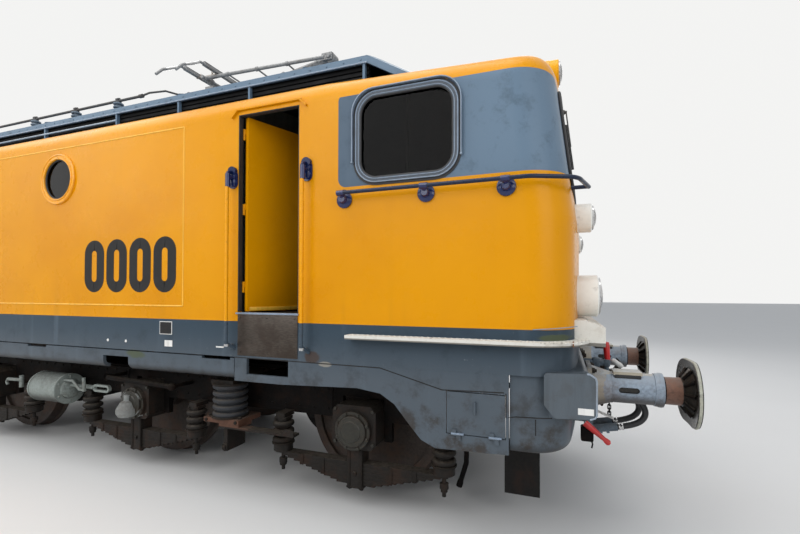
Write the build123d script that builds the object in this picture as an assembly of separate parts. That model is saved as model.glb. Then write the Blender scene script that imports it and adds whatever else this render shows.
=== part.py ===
from build123d import *
import math
import os

# Electric locomotive with two three-axle bogies, in millimetres.
# X runs along the body, end a is at +X and end b at -X. The near side is -Y. Z is up.
# Heights are taken above the rail top. save() lifts every solid by the flange depth,
# so that the wheel flanges stand on zero.

# Main sizes of the body
HALF_WIDTH = 1480
WALL = 50
NOSE_X = 8770
NOSE_BOW_RADIUS = 12000
CORNER_RADIUS = 300
BODY_LOW = 1170
WAIST = 2200
NOSE_RAKE = 0.128
CANT_START = 3170
CANT_RADIUS = 200
CANT_SWEEP = 65
FALL_START = 6900
ROOF_FALL = 0.041
FLOOR_TOP = 1530
FLOOR_THICKNESS = 50
SEAT_GAP = 0.3

# Cab doors
DOOR_REAR = 6124
DOOR_FRONT = 6711
DOOR_LOW = 1534
DOOR_HIGH = 3170
DOOR_GAP = 10
DOOR_THICKNESS = 40
DOOR_RECESS = 5
DOOR_OPEN_ANGLE = 70
HINGE_RADIUS = 11
HINGE_PIN_RADIUS = 6
HINGE_LENGTH = 90
HINGE_HEIGHTS = (1700, 2350, 2980)

# Windows
SIDE_WINDOW_X = (7240, 7938)
SIDE_WINDOW_Z = (2536, 3129)
SIDE_WINDOW_CORNER = 130
SCREEN_Y = (70, 1130)
SCREEN_Z = (2480, 3105)
SCREEN_CORNER = 110
PANE = 8
PANE_DEPTH = 12
FRAME_WIDTH = 38
FRAME_PROUD = 14
PORTHOLE_X = (1290, 3860)
PORTHOLE_Z = 2840
PORTHOLE_RADIUS = 200
PORTHOLE_RING = 256

# Wheels and axles
TREAD_RADIUS = 625
FLANGE_DEPTH = 30
FLANGE_WIDTH = 32
WHEEL_WIDTH = 140
RIM_THICKNESS = 75
WEB_THICKNESS = 36
HUB_RADIUS = 150
HUB_WIDTH = 190
BACK_TO_BACK = 1360
AXLE_RADIUS = 90
JOURNAL_RADIUS = 65
JOURNAL_END = 1190
PIVOT_X = 4647.5
AXLE_SPACING = 2422.5

# Bogie
FRAME_Y = (1010, 1060)
FRAME_LOW = 640
FRAME_HIGH = 930
FRAME_REACH = 3150
BOX_RADIUS = 155
BOX_HALF = 190
BOX_Y = (1010, 1235)
LEAF_Y = 1155
LEAF_WIDTH = 100
LEAF_HALF_SPAN = 760
LEAF_THICKNESS = 16
LEAF_COUNT = 11
LEAF_STEP = 3
LEAF_LOW = 162
COIL_RADIUS = 150
COIL_Z = (600, 900)
END_COIL_RADIUS = 92
END_COIL_Z = (400, 600)
MOTOR_RADIUS = 340

# Roof
COVER_EAVE_Y = 1265
COVER_EAVE_Z = 3520
COVER_THICKNESS = 60
COVER_HALF = 7190
COVER_FOOT = 7570
COVER_RISE = 270
LOUVRE_Y = 1190
LOUVRE_THICKNESS = 40

# Pantograph
PANTO_PIVOT = (4620, 4150)
PANTO_ARM = 1555
PANTO_HEAD_HALF = 550

# Ends
BUFFER_Y = 875
BUFFER_Z = 1025
BUFFER_FACE = 9476
BEAM_FACE = 8790
CASE_END = 9276


def block(x0, x1, y0, y1, z0, z1):
    """A box between six planes."""
    return Pos((x0 + x1) / 2, (y0 + y1) / 2, (z0 + z1) / 2) * Box(x1 - x0, y1 - y0, z1 - z0)


def rod(start, end, radius):
    """A round bar from one point to another."""
    a, b = Vector(*start), Vector(*end)
    plane = Plane(origin=a, z_dir=b - a)
    return extrude(plane * Circle(radius), (b - a).length)


def tube(points, bends, radius):
    """A round bar along straight runs with rounded bends."""
    path = FilletPolyline(*points, radius=bends)
    start = Plane(origin=path @ 0, z_dir=path % 0)
    return sweep(start * Circle(radius), path=path)


def rounded_prism(plane, across, up, corner, depth, low=0):
    """A rounded rectangle drawn on a plane and pushed along its normal from low to depth."""
    wide, high = across[1] - across[0], up[1] - up[0]
    middle = ((across[0] + across[1]) / 2, (up[0] + up[1]) / 2)
    face = plane.offset(low) * Pos(*middle) * RectangleRounded(wide, high, corner)
    return extrude(face, depth - low)


def solids_of(things):
    """The separate solids of shapes and lists of shapes."""
    out = []
    for thing in things:
        if isinstance(thing, (list, tuple)):
            out += solids_of(thing)
        else:
            out += list(thing.solids())
    return out


def save(node, *things):
    """Writes one node, raised so that the wheel flanges stand on zero."""
    lift = Pos(0, 0, FLANGE_DEPTH)
    raised = [lift * s for s in solids_of(things)]
    export_step(Compound(children=raised), f"parts/{node}.step")


def other_side(shape):
    return mirror(shape, about=Plane.XZ)


def other_end(shape):
    return mirror(shape, about=Plane.YZ)


def both_sides(shape):
    return [shape, other_side(shape)]


def both_ends(shape):
    return [shape, other_end(shape)]


def four_ways(shape):
    return both_sides(shape) + [other_end(s) for s in both_sides(shape)]


# The body as a volume

CANT_CENTRE_Y = HALF_WIDTH - CANT_RADIUS
CANT_END_Y = CANT_CENTRE_Y + CANT_RADIUS * math.cos(math.radians(CANT_SWEEP))
CANT_END_Z = CANT_START + CANT_RADIUS * math.sin(math.radians(CANT_SWEEP))
ROOF_RADIUS = CANT_END_Y / math.cos(math.radians(CANT_SWEEP))
ROOF_CREST = CANT_END_Z + ROOF_RADIUS * (1 - math.sin(math.radians(CANT_SWEEP)))


def left(point):
    """A point of an outline on its other side."""
    return (-point[0], point[1])


def below_roof(inset):
    """What lies below the roof's arc in cross-section, wider and deeper than the body."""
    wide = HALF_WIDTH + 200
    radius = ROOF_RADIUS - inset
    crest = ROOF_CREST - inset
    shoulder = (wide, crest - radius + math.sqrt(radius**2 - wide**2))
    foot = (wide, BODY_LOW - 300)
    outline = [
        Line(left(foot), foot),
        Line(foot, shoulder),
        ThreePointArc(shoulder, (0, crest), left(shoulder)),
        Line(left(shoulder), left(foot)),
    ]
    return Plane.YZ * make_face(outline)


def plan(inset):
    """One half of the body seen from above, from the middle to the bowed nose."""
    half = HALF_WIDTH - inset
    bow_x = NOSE_X - NOSE_BOW_RADIUS
    corner_y = HALF_WIDTH - CORNER_RADIUS
    reach = NOSE_BOW_RADIUS - CORNER_RADIUS
    corner_x = bow_x + math.sqrt(reach**2 - corner_y**2)
    turn = math.asin(corner_y / reach)
    bow = NOSE_BOW_RADIUS - inset
    radius = CORNER_RADIUS - inset
    halfway = (math.pi / 2 + turn) / 2
    tangent = (bow_x + bow * math.cos(turn), bow * math.sin(turn))
    middle = (corner_x + radius * math.cos(halfway), corner_y + radius * math.sin(halfway))
    start = (corner_x, half)

    def right(point):
        return (point[0], -point[1])

    outline = [
        Line((0, -half), (0, half)),
        Line((0, half), start),
        ThreePointArc(start, middle, tangent),
        ThreePointArc(tangent, (NOSE_X - inset, 0), right(tangent)),
        ThreePointArc(right(tangent), right(middle), right(start)),
        Line(right(start), (0, -half)),
    ]
    return make_face(outline)


def half_body(inset):
    """End a of the body as one volume.

    The nose is upright to the waist and then leans back. The roof falls towards it from FALL_START,
    and is rounded off along the sides and over the brow.
    """
    outline = plan(inset)
    upright = extrude(Pos(0, 0, BODY_LOW) * outline, WAIST - BODY_LOW)
    lean = Vector(-NOSE_RAKE, 0, 1)
    leaning = extrude(Pos(0, 0, WAIST) * outline, 1700 * lean.length, dir=lean)
    nose = (upright + leaning) & block(FALL_START, NOSE_X + 200, -2000, 2000, BODY_LOW, 3800)
    fall = Vector(1, 0, -ROOF_FALL)
    length = (NOSE_X + 200 - FALL_START) * fall.length
    nose = nose & extrude(Pos(FALL_START, 0, 0) * below_roof(inset), length, dir=fall)
    rim = [e for e in nose.edges() if e.center().Z > CANT_START and e.center().X > FALL_START + 1]
    nose = fillet(rim, CANT_RADIUS - inset)
    back = nose.faces().sort_by(Axis.X)[0]
    return nose + extrude(back, FALL_START, dir=(-1, 0, 0))


OUTER = half_body(0)
INNER = half_body(WALL)

CAB_SPLIT = 8300
ROOF_SPLIT = CANT_START - 2
side_band = block(0, CAB_SPLIT, -HALF_WIDTH - 1, -1300, BODY_LOW, ROOF_SPLIT)
front_band = block(CAB_SPLIT, 9000, -1600, 1600, BODY_LOW, ROOF_SPLIT)
roof_band = block(0, 9000, -1600, 1600, ROOF_SPLIT, 4000)
CAB_ROOF_X = 6000

side_shell = (OUTER & side_band) - INNER
front_shell = (OUTER & front_band) - INNER
roof_shell = (OUTER & roof_band) - INNER


def window_hole(grow=0):
    across = (SIDE_WINDOW_X[0] - grow, SIDE_WINDOW_X[1] + grow)
    up = (SIDE_WINDOW_Z[0] - grow, SIDE_WINDOW_Z[1] + grow)
    return rounded_prism(Plane.XZ, across, up, SIDE_WINDOW_CORNER + grow, 1600)


def screen_holes(grow=0):
    across = (SCREEN_Y[0] - grow, SCREEN_Y[1] + grow)
    up = (SCREEN_Z[0] - grow, SCREEN_Z[1] + grow)
    right = rounded_prism(Plane.YZ, across, up, SCREEN_CORNER + grow, 9000, 8000)
    return [right, other_side(right)]


def cut_all(shape, tools):
    for tool in tools:
        shape = shape - tool
    return shape


doorway = block(DOOR_REAR, DOOR_FRONT, -1600, -1300, DOOR_LOW, DOOR_HIGH)

# Side walls: a machine-room side, and a cab side in front of the doorway
machine_side = side_shell & block(0, DOOR_REAR, -1600, 0, BODY_LOW, ROOF_SPLIT)
machine_side = machine_side + other_end(machine_side)
for x in PORTHOLE_X:
    for way in (-1, 1):
        hole = extrude(Plane.XZ * Pos(way * x, PORTHOLE_Z) * Circle(PORTHOLE_RADIUS), 1600)
        machine_side = machine_side - hole
cab_side = (side_shell & block(DOOR_REAR, 9000, -1600, 0, BODY_LOW, ROOF_SPLIT)) - doorway
cab_side = cab_side - window_hole()

# Hinges: the wall holds a lug, a barrel and its pin, and the door a barrel round that pin
HINGE_X = DOOR_REAR + DOOR_GAP / 2
HINGE_Y = -HALF_WIDTH + WALL + HINGE_RADIUS + 1
LEAF_INNER_Y = -HALF_WIDTH + DOOR_RECESS + DOOR_THICKNESS


def wall_hinge(height):
    half = HINGE_LENGTH / 2
    barrel = Pos(HINGE_X, HINGE_Y, height + half / 2) * Cylinder(HINGE_RADIUS, half)
    pin = Pos(HINGE_X, HINGE_Y, height + half) * Cylinder(HINGE_PIN_RADIUS, HINGE_LENGTH)
    wall_face = -HALF_WIDTH + WALL
    lug = block(DOOR_REAR - 60, HINGE_X, wall_face, HINGE_Y, height, height + half)
    return (lug - barrel) + barrel + pin


def door_leaf():
    """The closed door of the near side at end a."""
    x0, x1 = DOOR_REAR + DOOR_GAP, DOOR_FRONT - DOOR_GAP
    z0, z1 = DOOR_LOW + DOOR_GAP, DOOR_HIGH - DOOR_GAP
    leaf = block(x0, x1, -HALF_WIDTH + DOOR_RECESS, LEAF_INNER_Y, z0, z1)
    panel = block(x0 + 60, x1 - 60, LEAF_INNER_Y - 8, LEAF_INNER_Y + 1, 1650, 3040)
    leaf = leaf - panel
    half = HINGE_LENGTH / 2
    for height in HINGE_HEIGHTS:
        low = height + half + SEAT_GAP
        centre = Pos(HINGE_X, HINGE_Y, low + half / 2)
        barrel = centre * Cylinder(HINGE_RADIUS, half)
        strap = block(HINGE_X, x0 + 90, LEAF_INNER_Y, HINGE_Y, low, low + half)
        bore = centre * Cylinder(HINGE_PIN_RADIUS + SEAT_GAP, half + 2)
        leaf = leaf + strap + barrel - bore
    return leaf


hinges = [wall_hinge(h) for h in HINGE_HEIGHTS]
door_closed = door_leaf()
hinge_line = Pos(HINGE_X, HINGE_Y, 0)
door_open = hinge_line * Rot(0, 0, DOOR_OPEN_ANGLE) * Pos(-HINGE_X, -HINGE_Y, 0) * door_closed

machine_side_hinged = machine_side
for hinge in hinges:
    machine_side_hinged = machine_side_hinged + hinge + other_end(hinge)

# Nose wall with its two windscreens
cab_front = cut_all(front_shell, screen_holes())


def wall_layer(outer_depth, inner_depth):
    """The wall of end a between two depths below its outer face."""
    return half_body(outer_depth) - half_body(inner_depth)


# Panes and their frames
pane_layer = wall_layer(PANE_DEPTH, PANE_DEPTH + PANE)
frame_layer = half_body(-FRAME_PROUD) - half_body(0)
side_pane = pane_layer & window_hole(-SEAT_GAP) & side_band
screens = [pane_layer & hole for hole in screen_holes(-SEAT_GAP)]
portholes = []
rings = []
for x in PORTHOLE_X:
    centre = Plane.XZ.offset(HALF_WIDTH - PANE_DEPTH - PANE) * Pos(x, PORTHOLE_Z)
    portholes.append(extrude(centre * Circle(PORTHOLE_RADIUS - SEAT_GAP), PANE))
    seat = Plane.XZ.offset(HALF_WIDTH) * Pos(x, PORTHOLE_Z)
    ring = extrude(seat * (Circle(PORTHOLE_RING) - Circle(PORTHOLE_RADIUS)), FRAME_PROUD)
    outer_rim = ring.edges().filter_by(GeomType.CIRCLE).group_by(Axis.Y)[0].sort_by(SortBy.RADIUS)[-1]
    rings.append(chamfer(outer_rim, 8))
near_half = block(0, 9000, -1700, 0, 0, 4000)
side_frame_ring = (window_hole(FRAME_WIDTH) - window_hole()) & frame_layer & near_half
screen_rings = []
for wide, narrow in zip(screen_holes(FRAME_WIDTH - 8), screen_holes()):
    screen_rings.append((wide - narrow) & frame_layer)

# Roof panels
roof_mid = roof_shell & block(-1, CAB_ROOF_X, -1600, 1600, ROOF_SPLIT, 4000)
roof_mid = roof_mid + other_end(roof_mid)
roof_cab = roof_shell & block(CAB_ROOF_X, 9000, -1600, 1600, ROOF_SPLIT, 4000)
ROOF_BOARD_X = (7600, 8070)
ROOF_BOARD_HALF = 1020
ROOF_BOARD_THICKNESS = 38
ROOF_BOARD_SUNK = 10
board_area = block(*ROOF_BOARD_X, -ROOF_BOARD_HALF, ROOF_BOARD_HALF, CANT_START, 4000)
board_band = Pos(FALL_START, 0, 0) * (below_roof(-ROOF_BOARD_THICKNESS) - below_roof(ROOF_BOARD_SUNK))
board = extrude(board_band, NOSE_X - FALL_START, dir=Vector(1, 0, -ROOF_FALL))
roof_cab = roof_cab + (board & board_area)

# Floor, solebars, cross beams
floor_low = FLOOR_TOP - FLOOR_THICKNESS
floor_volume = half_body(WALL)
floor_half = floor_volume & block(0, 8600, -1600, 1600, floor_low, FLOOR_TOP)
floor_deck = floor_half + other_end(floor_half)
SOLEBAR_WIDTH = 130
sole_outer = HALF_WIDTH - WALL
solebar = block(-8250, 8250, -sole_outer, -sole_outer + SOLEBAR_WIDTH, BODY_LOW, floor_low)
sole_inner = sole_outer - SOLEBAR_WIDTH
JACK_X = 4470
JACK_DEPTH = 20
for x in (-JACK_X, JACK_X):
    pad = block(x - 100, x + 100, -sole_outer + 10, -sole_inner - 10, BODY_LOW - JACK_DEPTH, BODY_LOW)
    solebar = solebar + pad
BOLSTER_LOW = 1320
bolster = block(PIVOT_X - 350, PIVOT_X + 350, -sole_inner, sole_inner, BOLSTER_LOW, floor_low)
PIVOT_RADIUS = 110
PIVOT_LOW = 790
pin_middle = Pos(PIVOT_X, 0, (BOLSTER_LOW + PIVOT_LOW) / 2)
centre_pin = pin_middle * Cylinder(PIVOT_RADIUS, BOLSTER_LOW - PIVOT_LOW)
headstock = block(8255, 8500, -sole_inner, sole_inner, 1210, floor_low)

# Bulkhead between cab and machine room
BULKHEAD_X = (5940, 5980)
bulkhead = (INNER & block(*BULKHEAD_X, -1600, 1600, FLOOR_TOP, 4000))
equipment = block(-5400, 5400, -700, 700, FLOOR_TOP, 2700)

# Skirts below the cabs
SKIRT = 30
SKIRT_TOP = BODY_LOW - SEAT_GAP
skirt_points = [
    (6100, SKIRT_TOP), (6100, 976), (6547, 976), (7217, 1001), (7401, 977), (7511, 911), (7619, 784),
    (7710, 684), (7813, 640), (8300, 655), (8300, SKIRT_TOP),
]
STEP_HOLE = (6220, 6621)
STEP_SILL = 1035
skirt_face = Plane.XZ * make_face(Polyline(*skirt_points, close=True))
skirt = extrude(skirt_face, HALF_WIDTH) - block(6000, 8400, -HALF_WIDTH + SKIRT, 10, 0, 1400)
skirt = skirt - block(*STEP_HOLE, -1600, -1400, STEP_SILL, BODY_LOW)
HATCH_X = (7887, 8283)
HATCH_Z = (750, 1040)
HATCH_GAP = 6
skirt = skirt - block(*HATCH_X, -1600, -1400, *HATCH_Z)
HATCH_HINGE_Y = -HALF_WIDTH - 8
HATCH_HINGE_Z = HATCH_Z[0] - 2
HATCH_KNUCKLE = 7
HATCH_PIN = 3.5
HATCH_HINGES = (7960, 8210)


def hinge_rod(x0, x1, radius):
    """A round bar on the hatch's hinge line."""
    return rod((x0, HATCH_HINGE_Y, HATCH_HINGE_Z), (x1, HATCH_HINGE_Y, HATCH_HINGE_Z), radius)


def hatch_leaf():
    x0, x1 = HATCH_X[0] + HATCH_GAP, HATCH_X[1] - HATCH_GAP
    leaf = block(x0, x1, -HALF_WIDTH, -HALF_WIDTH + 25, HATCH_Z[0] + HATCH_GAP, HATCH_Z[1] - HATCH_GAP)
    for x in HATCH_HINGES:
        knuckle = hinge_rod(x - 30, x, HATCH_KNUCKLE)
        top = HATCH_Z[0] + HATCH_GAP + 30
        plate = block(x - 30, x, HATCH_HINGE_Y - 5, HATCH_HINGE_Y + 3, HATCH_HINGE_Z, top)
        plate = plate + block(x - 30, x, HATCH_HINGE_Y, -HALF_WIDTH, HATCH_Z[0] + HATCH_GAP, top)
        bore = hinge_rod(x - 31, x + 1, HATCH_PIN + SEAT_GAP)
        leaf = leaf + plate + knuckle - bore
    handle = rod((8085, -HALF_WIDTH - 18, 900), (8085, -HALF_WIDTH - 18, 980), 7)
    for z in (905, 975):
        handle = handle + rod((8085, -HALF_WIDTH - 18, z), (8085, -HALF_WIDTH, z), 7)
    return leaf + handle


def hatch_lug(x):
    """The skirt's half of a hatch hinge, with the pin."""
    barrel = hinge_rod(x + SEAT_GAP, x + 30, HATCH_KNUCKLE)
    pin = hinge_rod(x - 30, x + 30, HATCH_PIN)
    plate = block(x + SEAT_GAP, x + 30, HATCH_HINGE_Y - 5, -HALF_WIDTH, HATCH_HINGE_Z - 35, HATCH_HINGE_Z)
    return plate + barrel + pin


for x in HATCH_HINGES:
    skirt = skirt + hatch_lug(x)
hatch = hatch_leaf()

# Valance between the skirts
VALANCE_END = 6094
VALANCE_Z = (985, 1160)
VALANCE_ROLL = 75
VALANCE_CUTS = (  # from, to, low, high
    (3408, 3699, 1140, 1200),
    (4540, 4872, 900, 1104),
    (5752, 6052, 1140, 1200),
)
VALANCE_BRACKETS = (1250, 2500, 3900, 5200)


def valance_face():
    """The cross-section of a valance: a thick sheet rolled inward along its lower edge."""
    low, high = VALANCE_Z
    outer, inner = -HALF_WIDTH, -HALF_WIDTH + SKIRT
    diagonal = math.sqrt(0.5)
    centre = (outer + VALANCE_ROLL, low + VALANCE_ROLL)
    small = VALANCE_ROLL - SKIRT
    outline = [
        Line((outer, high), (outer, centre[1])),
        ThreePointArc(
            (outer, centre[1]),
            (centre[0] - VALANCE_ROLL * diagonal, centre[1] - VALANCE_ROLL * diagonal),
            (centre[0], low),
        ),
        Line((centre[0], low), (centre[0], low + SKIRT)),
        ThreePointArc(
            (centre[0], low + SKIRT),
            (centre[0] - small * diagonal, centre[1] - small * diagonal),
            (inner, centre[1]),
        ),
        Line((inner, centre[1]), (inner, high)),
        Line((inner, high), (outer, high)),
    ]
    return Plane.YZ * make_face(outline)


half_valance = extrude(valance_face(), VALANCE_END)
for x0, x1, low, high in VALANCE_CUTS:
    half_valance = half_valance - block(x0, x1, -1600, -1350, low, high)
for x in VALANCE_BRACKETS:
    bracket = block(x - 40, x + 40, -HALF_WIDTH + SKIRT, -sole_inner, 1110, BODY_LOW)
    half_valance = half_valance + bracket
valance = half_valance + other_end(half_valance)

# Nose apron below the body
apron_outline = plan(25)
apron = extrude(Pos(0, 0, 655) * apron_outline, BODY_LOW - 655) & block(8305, 9000, -1600, 1600, 600, 1200)
low_edges = apron.edges().group_by(Axis.Z)[0].filter_by(lambda e: e.center().X > 8310)
apron = fillet(low_edges, 90)
apron_inner = extrude(Pos(0, 0, 655 + SKIRT) * plan(25 + SKIRT), BODY_LOW - 655 - 2 * SKIRT)
apron_inner = apron_inner & block(8200, 9000, -1600, 1600, 600, 1200)
inner_edges = apron_inner.edges().group_by(Axis.Z)[0].filter_by(lambda e: e.center().X > 8210)
apron_inner = fillet(inner_edges, 60)
apron_mouth = extrude(Pos(0, 0, 600) * plan(170), 100) & block(8200, 9000, -1600, 1600, 600, 700)
apron = apron - apron_inner - apron_mouth
apron = apron - block(8200, 8900, -500, 500, 600, 900)
BEAM_X = (8500, BEAM_FACE)
BEAM_Z = (905, 1205)
beam = block(*BEAM_X, -1420, 1420, *BEAM_Z)
beam = fillet(beam.edges().filter_by(Axis.Y).group_by(Axis.X)[-1], 45)
apron = apron + (beam - front_shell)

# Ledges: a board along each cab side, and a platform round the nose
LEDGE_Z = (1365, 1395)
LEDGE_PROUD = 90
LEDGE_REAR = 7160
STEP_HALF = 1250
STEP_PROFILE = ((8500, 1365), (8890, 1350), (8890, 1475), (8765, 1520), (8500, 1520))


def ledge():
    """The board along the cab sides and round the nose, with the raised step in front of the nose."""
    outer = extrude(Pos(0, 0, LEDGE_Z[0]) * plan(-LEDGE_PROUD), LEDGE_Z[1] - LEDGE_Z[0])
    step_face = Plane.XZ.offset(-STEP_HALF) * make_face(Polyline(*STEP_PROFILE, close=True))
    step = extrude(step_face, 2 * STEP_HALF)
    body = extrude(Pos(0, 0, BODY_LOW) * plan(0), WAIST - BODY_LOW)
    board = (outer + step) - body
    return board & block(LEDGE_REAR, NOSE_X + 300, -1700, 1700, 0, 4000)


# Buffers
CASE_RADIUS = 107
STEM_RADIUS = 93
HEAD_WIDTH = 560
HEAD_HEIGHT = 430
HEAD_CORNER = 190
HEAD_THICKNESS = 28
DOME_RADIUS = 1500
CASE_TREAD_X = (8965, 9145)
CASE_TREAD_HALF = 75


def buffer_case():
    foot = Plane.YZ.offset(BEAM_FACE) * Pos(-BUFFER_Y, BUFFER_Z)
    base = extrude(foot * RectangleRounded(330, 330, 40), 30)
    case = extrude(foot * Circle(CASE_RADIUS), CASE_END - BEAM_FACE)
    ring = extrude(Plane.YZ.offset(CASE_END - 25) * Pos(-BUFFER_Y, BUFFER_Z) * Circle(CASE_RADIUS + 10), 25)
    cone = rod((8820, -BUFFER_Y, BUFFER_Z), (8960, -BUFFER_Y, BUFFER_Z), 150)
    cone = chamfer(cone.edges().group_by(Axis.X)[-1], 139, 42)
    case = base + case + ring + cone
    bore = extrude(Plane.YZ.offset(8900) * Pos(-BUFFER_Y, BUFFER_Z) * Circle(STEM_RADIUS + SEAT_GAP), 500)
    slot = Plane.XY * Pos(9060, -BUFFER_Y) * SlotOverall(130, 40)
    case = case - bore - extrude(Pos(0, 0, BUFFER_Z) * slot, 200)
    side_slot = Plane.XZ * Pos(9060, BUFFER_Z) * SlotOverall(130, 40)
    case = case - extrude(side_slot, BUFFER_Y + 200)
    low, high = BUFFER_Z + CASE_RADIUS - 9, BUFFER_Z + CASE_RADIUS + 15
    tread_y = (-BUFFER_Y - CASE_TREAD_HALF, -BUFFER_Y + CASE_TREAD_HALF)
    return case + block(*CASE_TREAD_X, *tread_y, low, high)


def dish_face(radius):
    """The distance along the body of a buffer's domed face, at a radius from its centre."""
    return BUFFER_FACE - DOME_RADIUS + math.sqrt(DOME_RADIUS**2 - radius**2)


def buffer_head():
    """A stem and its dished plate, turned about the buffer's axis and cut to the plate's outline."""
    root, neck, rim = 8902, 9390, 300
    flare = 160
    outline = [
        Line((root, 0), (root, STEM_RADIUS)),
        Line((root, STEM_RADIUS), (neck, STEM_RADIUS)),
        Line((neck, STEM_RADIUS), (dish_face(flare) - HEAD_THICKNESS, flare)),
        Line((dish_face(flare) - HEAD_THICKNESS, flare), (dish_face(rim) - HEAD_THICKNESS, rim)),
        Line((dish_face(rim) - HEAD_THICKNESS, rim), (dish_face(rim), rim)),
        ThreePointArc((dish_face(rim), rim), (dish_face(rim / 2), rim / 2), (BUFFER_FACE, 0)),
        Line((BUFFER_FACE, 0), (root, 0)),
    ]
    turned = revolve(Plane.XZ * make_face(outline), Axis.X, 360)
    shape = Plane.YZ.offset(root - 1) * RectangleRounded(HEAD_WIDTH, HEAD_HEIGHT, HEAD_CORNER)
    return Pos(0, -BUFFER_Y, BUFFER_Z) * (turned & extrude(shape, BUFFER_FACE + 10 - root))


# Draw hook and screw coupling


SHACKLE_PIN = (8940, BUFFER_Z - 10)
SHACKLE_END = (8965, 690)
SHACKLE_HALF = 48


def shackle():
    """The bow that hangs from the pin of the draw hook."""
    pin_x, pin_z = SHACKLE_PIN
    end_x, end_z = SHACKLE_END
    half = SHACKLE_HALF
    points = [(pin_x, -half, pin_z), (end_x, -half, end_z), (end_x, half, end_z), (pin_x, half, pin_z)]
    return tube(points, 30, 13) + rod((pin_x, -half - 14, pin_z), (pin_x, half + 14, pin_z), 18)


def coupling():
    shank = block(BEAM_FACE, 8990, -30, 30, BUFFER_Z - 35, BUFFER_Z + 35) + shackle()
    hook_ring = extrude(Plane.XZ.offset(-35) * Pos(9040, BUFFER_Z + 25) * (Circle(85) - Circle(38)), 70)
    throat = block(9020, 9090, -40, 40, BUFFER_Z + 25, BUFFER_Z + 120)
    plate = extrude(Plane.YZ.offset(BEAM_FACE) * Pos(0, BUFFER_Z) * RectangleRounded(300, 300, 30), 25)
    return plate + shank + (hook_ring - throat)


# Running gear
def wheelset(x):
    """An axle and its two wheels, turned about the axle line."""
    inner = BACK_TO_BACK / 2
    outer = inner + WHEEL_WIDTH
    middle = (inner + outer) / 2
    rim = TREAD_RADIUS - RIM_THICKNESS
    hub_in, hub_out = middle - HUB_WIDTH / 2, middle + HUB_WIDTH / 2
    web_in, web_out = middle - WEB_THICKNESS / 2, middle + WEB_THICKNESS / 2
    half_profile = [
        (0, 0), (AXLE_RADIUS, 0), (AXLE_RADIUS, hub_in), (HUB_RADIUS, hub_in), (HUB_RADIUS, web_in),
        (rim, web_in + 20), (rim, inner), (TREAD_RADIUS + FLANGE_DEPTH, inner + 4),
        (TREAD_RADIUS + FLANGE_DEPTH, inner + 18), (TREAD_RADIUS + 4, inner + FLANGE_WIDTH),
        (TREAD_RADIUS, inner + FLANGE_WIDTH + 8), (TREAD_RADIUS - 4, outer), (rim, outer),
        (rim, web_out + 20), (HUB_RADIUS, web_out), (HUB_RADIUS, hub_out), (AXLE_RADIUS, hub_out),
        (AXLE_RADIUS, outer + 60), (JOURNAL_RADIUS, outer + 70), (JOURNAL_RADIUS, JOURNAL_END),
        (0, JOURNAL_END),
    ]
    half = revolve(make_face(Polyline(*half_profile, close=True)), Axis.Y, 360)
    whole = half + mirror(half, about=Plane.XZ)
    return Pos(x, 0, TREAD_RADIUS) * whole


BORE_RADIUS = JOURNAL_RADIUS + SEAT_GAP


def axlebox_unit(x):
    """One near-side axlebox with its underslung leaf spring and its buckle."""
    y0, y1 = BOX_Y
    axle_z = TREAD_RADIUS
    housing = block(x - BOX_HALF, x + BOX_HALF, -y1, -y0, axle_z - 170, axle_z + 175)
    housing = chamfer(housing.edges().filter_by(Axis.Y), 45)
    cover = Plane.XZ.offset(y1) * Pos(x, axle_z - 20)
    housing = housing + extrude(cover * Circle(BOX_RADIUS), 30)
    housing = housing + extrude(cover * Circle(BOX_RADIUS - 30), 48)
    journal = extrude(Plane.XZ.offset(y0 - 5) * Pos(x, axle_z) * Circle(BORE_RADIUS), JOURNAL_END - y0 + 10)
    housing = housing - journal
    spring = leaf_spring(x)
    buckle = block(x - 68, x + 68, -LEAF_Y - 62, -LEAF_Y + 62, LEAF_LOW - 20, axle_z - 165)
    unit = housing + buckle + spring
    for end in (-1, 1):
        unit = unit + spring_hanger(x + end * END_COIL_REACH)
    return unit


def leaf_spring(x):
    """A stack of leaves, the longest on top, each step one leaf shorter."""
    top = LEAF_LOW + LEAF_COUNT * LEAF_THICKNESS
    step = (LEAF_HALF_SPAN - 110) / LEAF_COUNT
    stack = None
    for i in range(LEAF_COUNT):
        reach = LEAF_HALF_SPAN - i * step
        high = top - i * LEAF_THICKNESS
        half = LEAF_WIDTH / 2 - (i % 2) * LEAF_STEP
        leaf = block(x - reach, x + reach, -LEAF_Y - half, -LEAF_Y + half, high - LEAF_THICKNESS, high)
        stack = leaf if stack is None else stack + leaf
    return stack


def coil(x, y, z0, z1, radius, turns):
    """A coil spring drawn as a solid of revolution with one bead for each turn."""
    pitch = (z1 - z0) / turns
    wire = pitch * 0.36
    core = radius - 1.6 * wire
    body = Pos(0, 0, (z0 + z1) / 2) * Cylinder(core, z1 - z0)
    for i in range(turns):
        bead = Pos(0, 0, z0 + pitch * (i + 0.5)) * Torus(radius - wire, wire)
        body = body + bead
    return Pos(x, y, 0) * body


ROD_ENDS = ((-335, 845), (554, 814))  # from the pivot, height
ROD_Y = 1290


def guide_rod(centre):
    """The rod over the middle axlebox, with a foot on the side plate at each end."""
    way = 1 if centre > 0 else -1
    ends = [(centre + way * dx, -ROD_Y, z) for dx, z in ROD_ENDS]
    piece = rod(*ends, 24)
    for x, y, z in ends:
        piece = piece + Pos(x, y, z) * Sphere(38) + rod((x, y, z), (x, -FRAME_Y[1] + 5, z), 20)
    return piece


BELL_X = -20
BELL_Y = 1300
BELL_PROFILE = ((0, 695), (30, 695), (30, 640), (60, 625), (96, 560), (96, 520), (76, 487), (0, 487))


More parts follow.
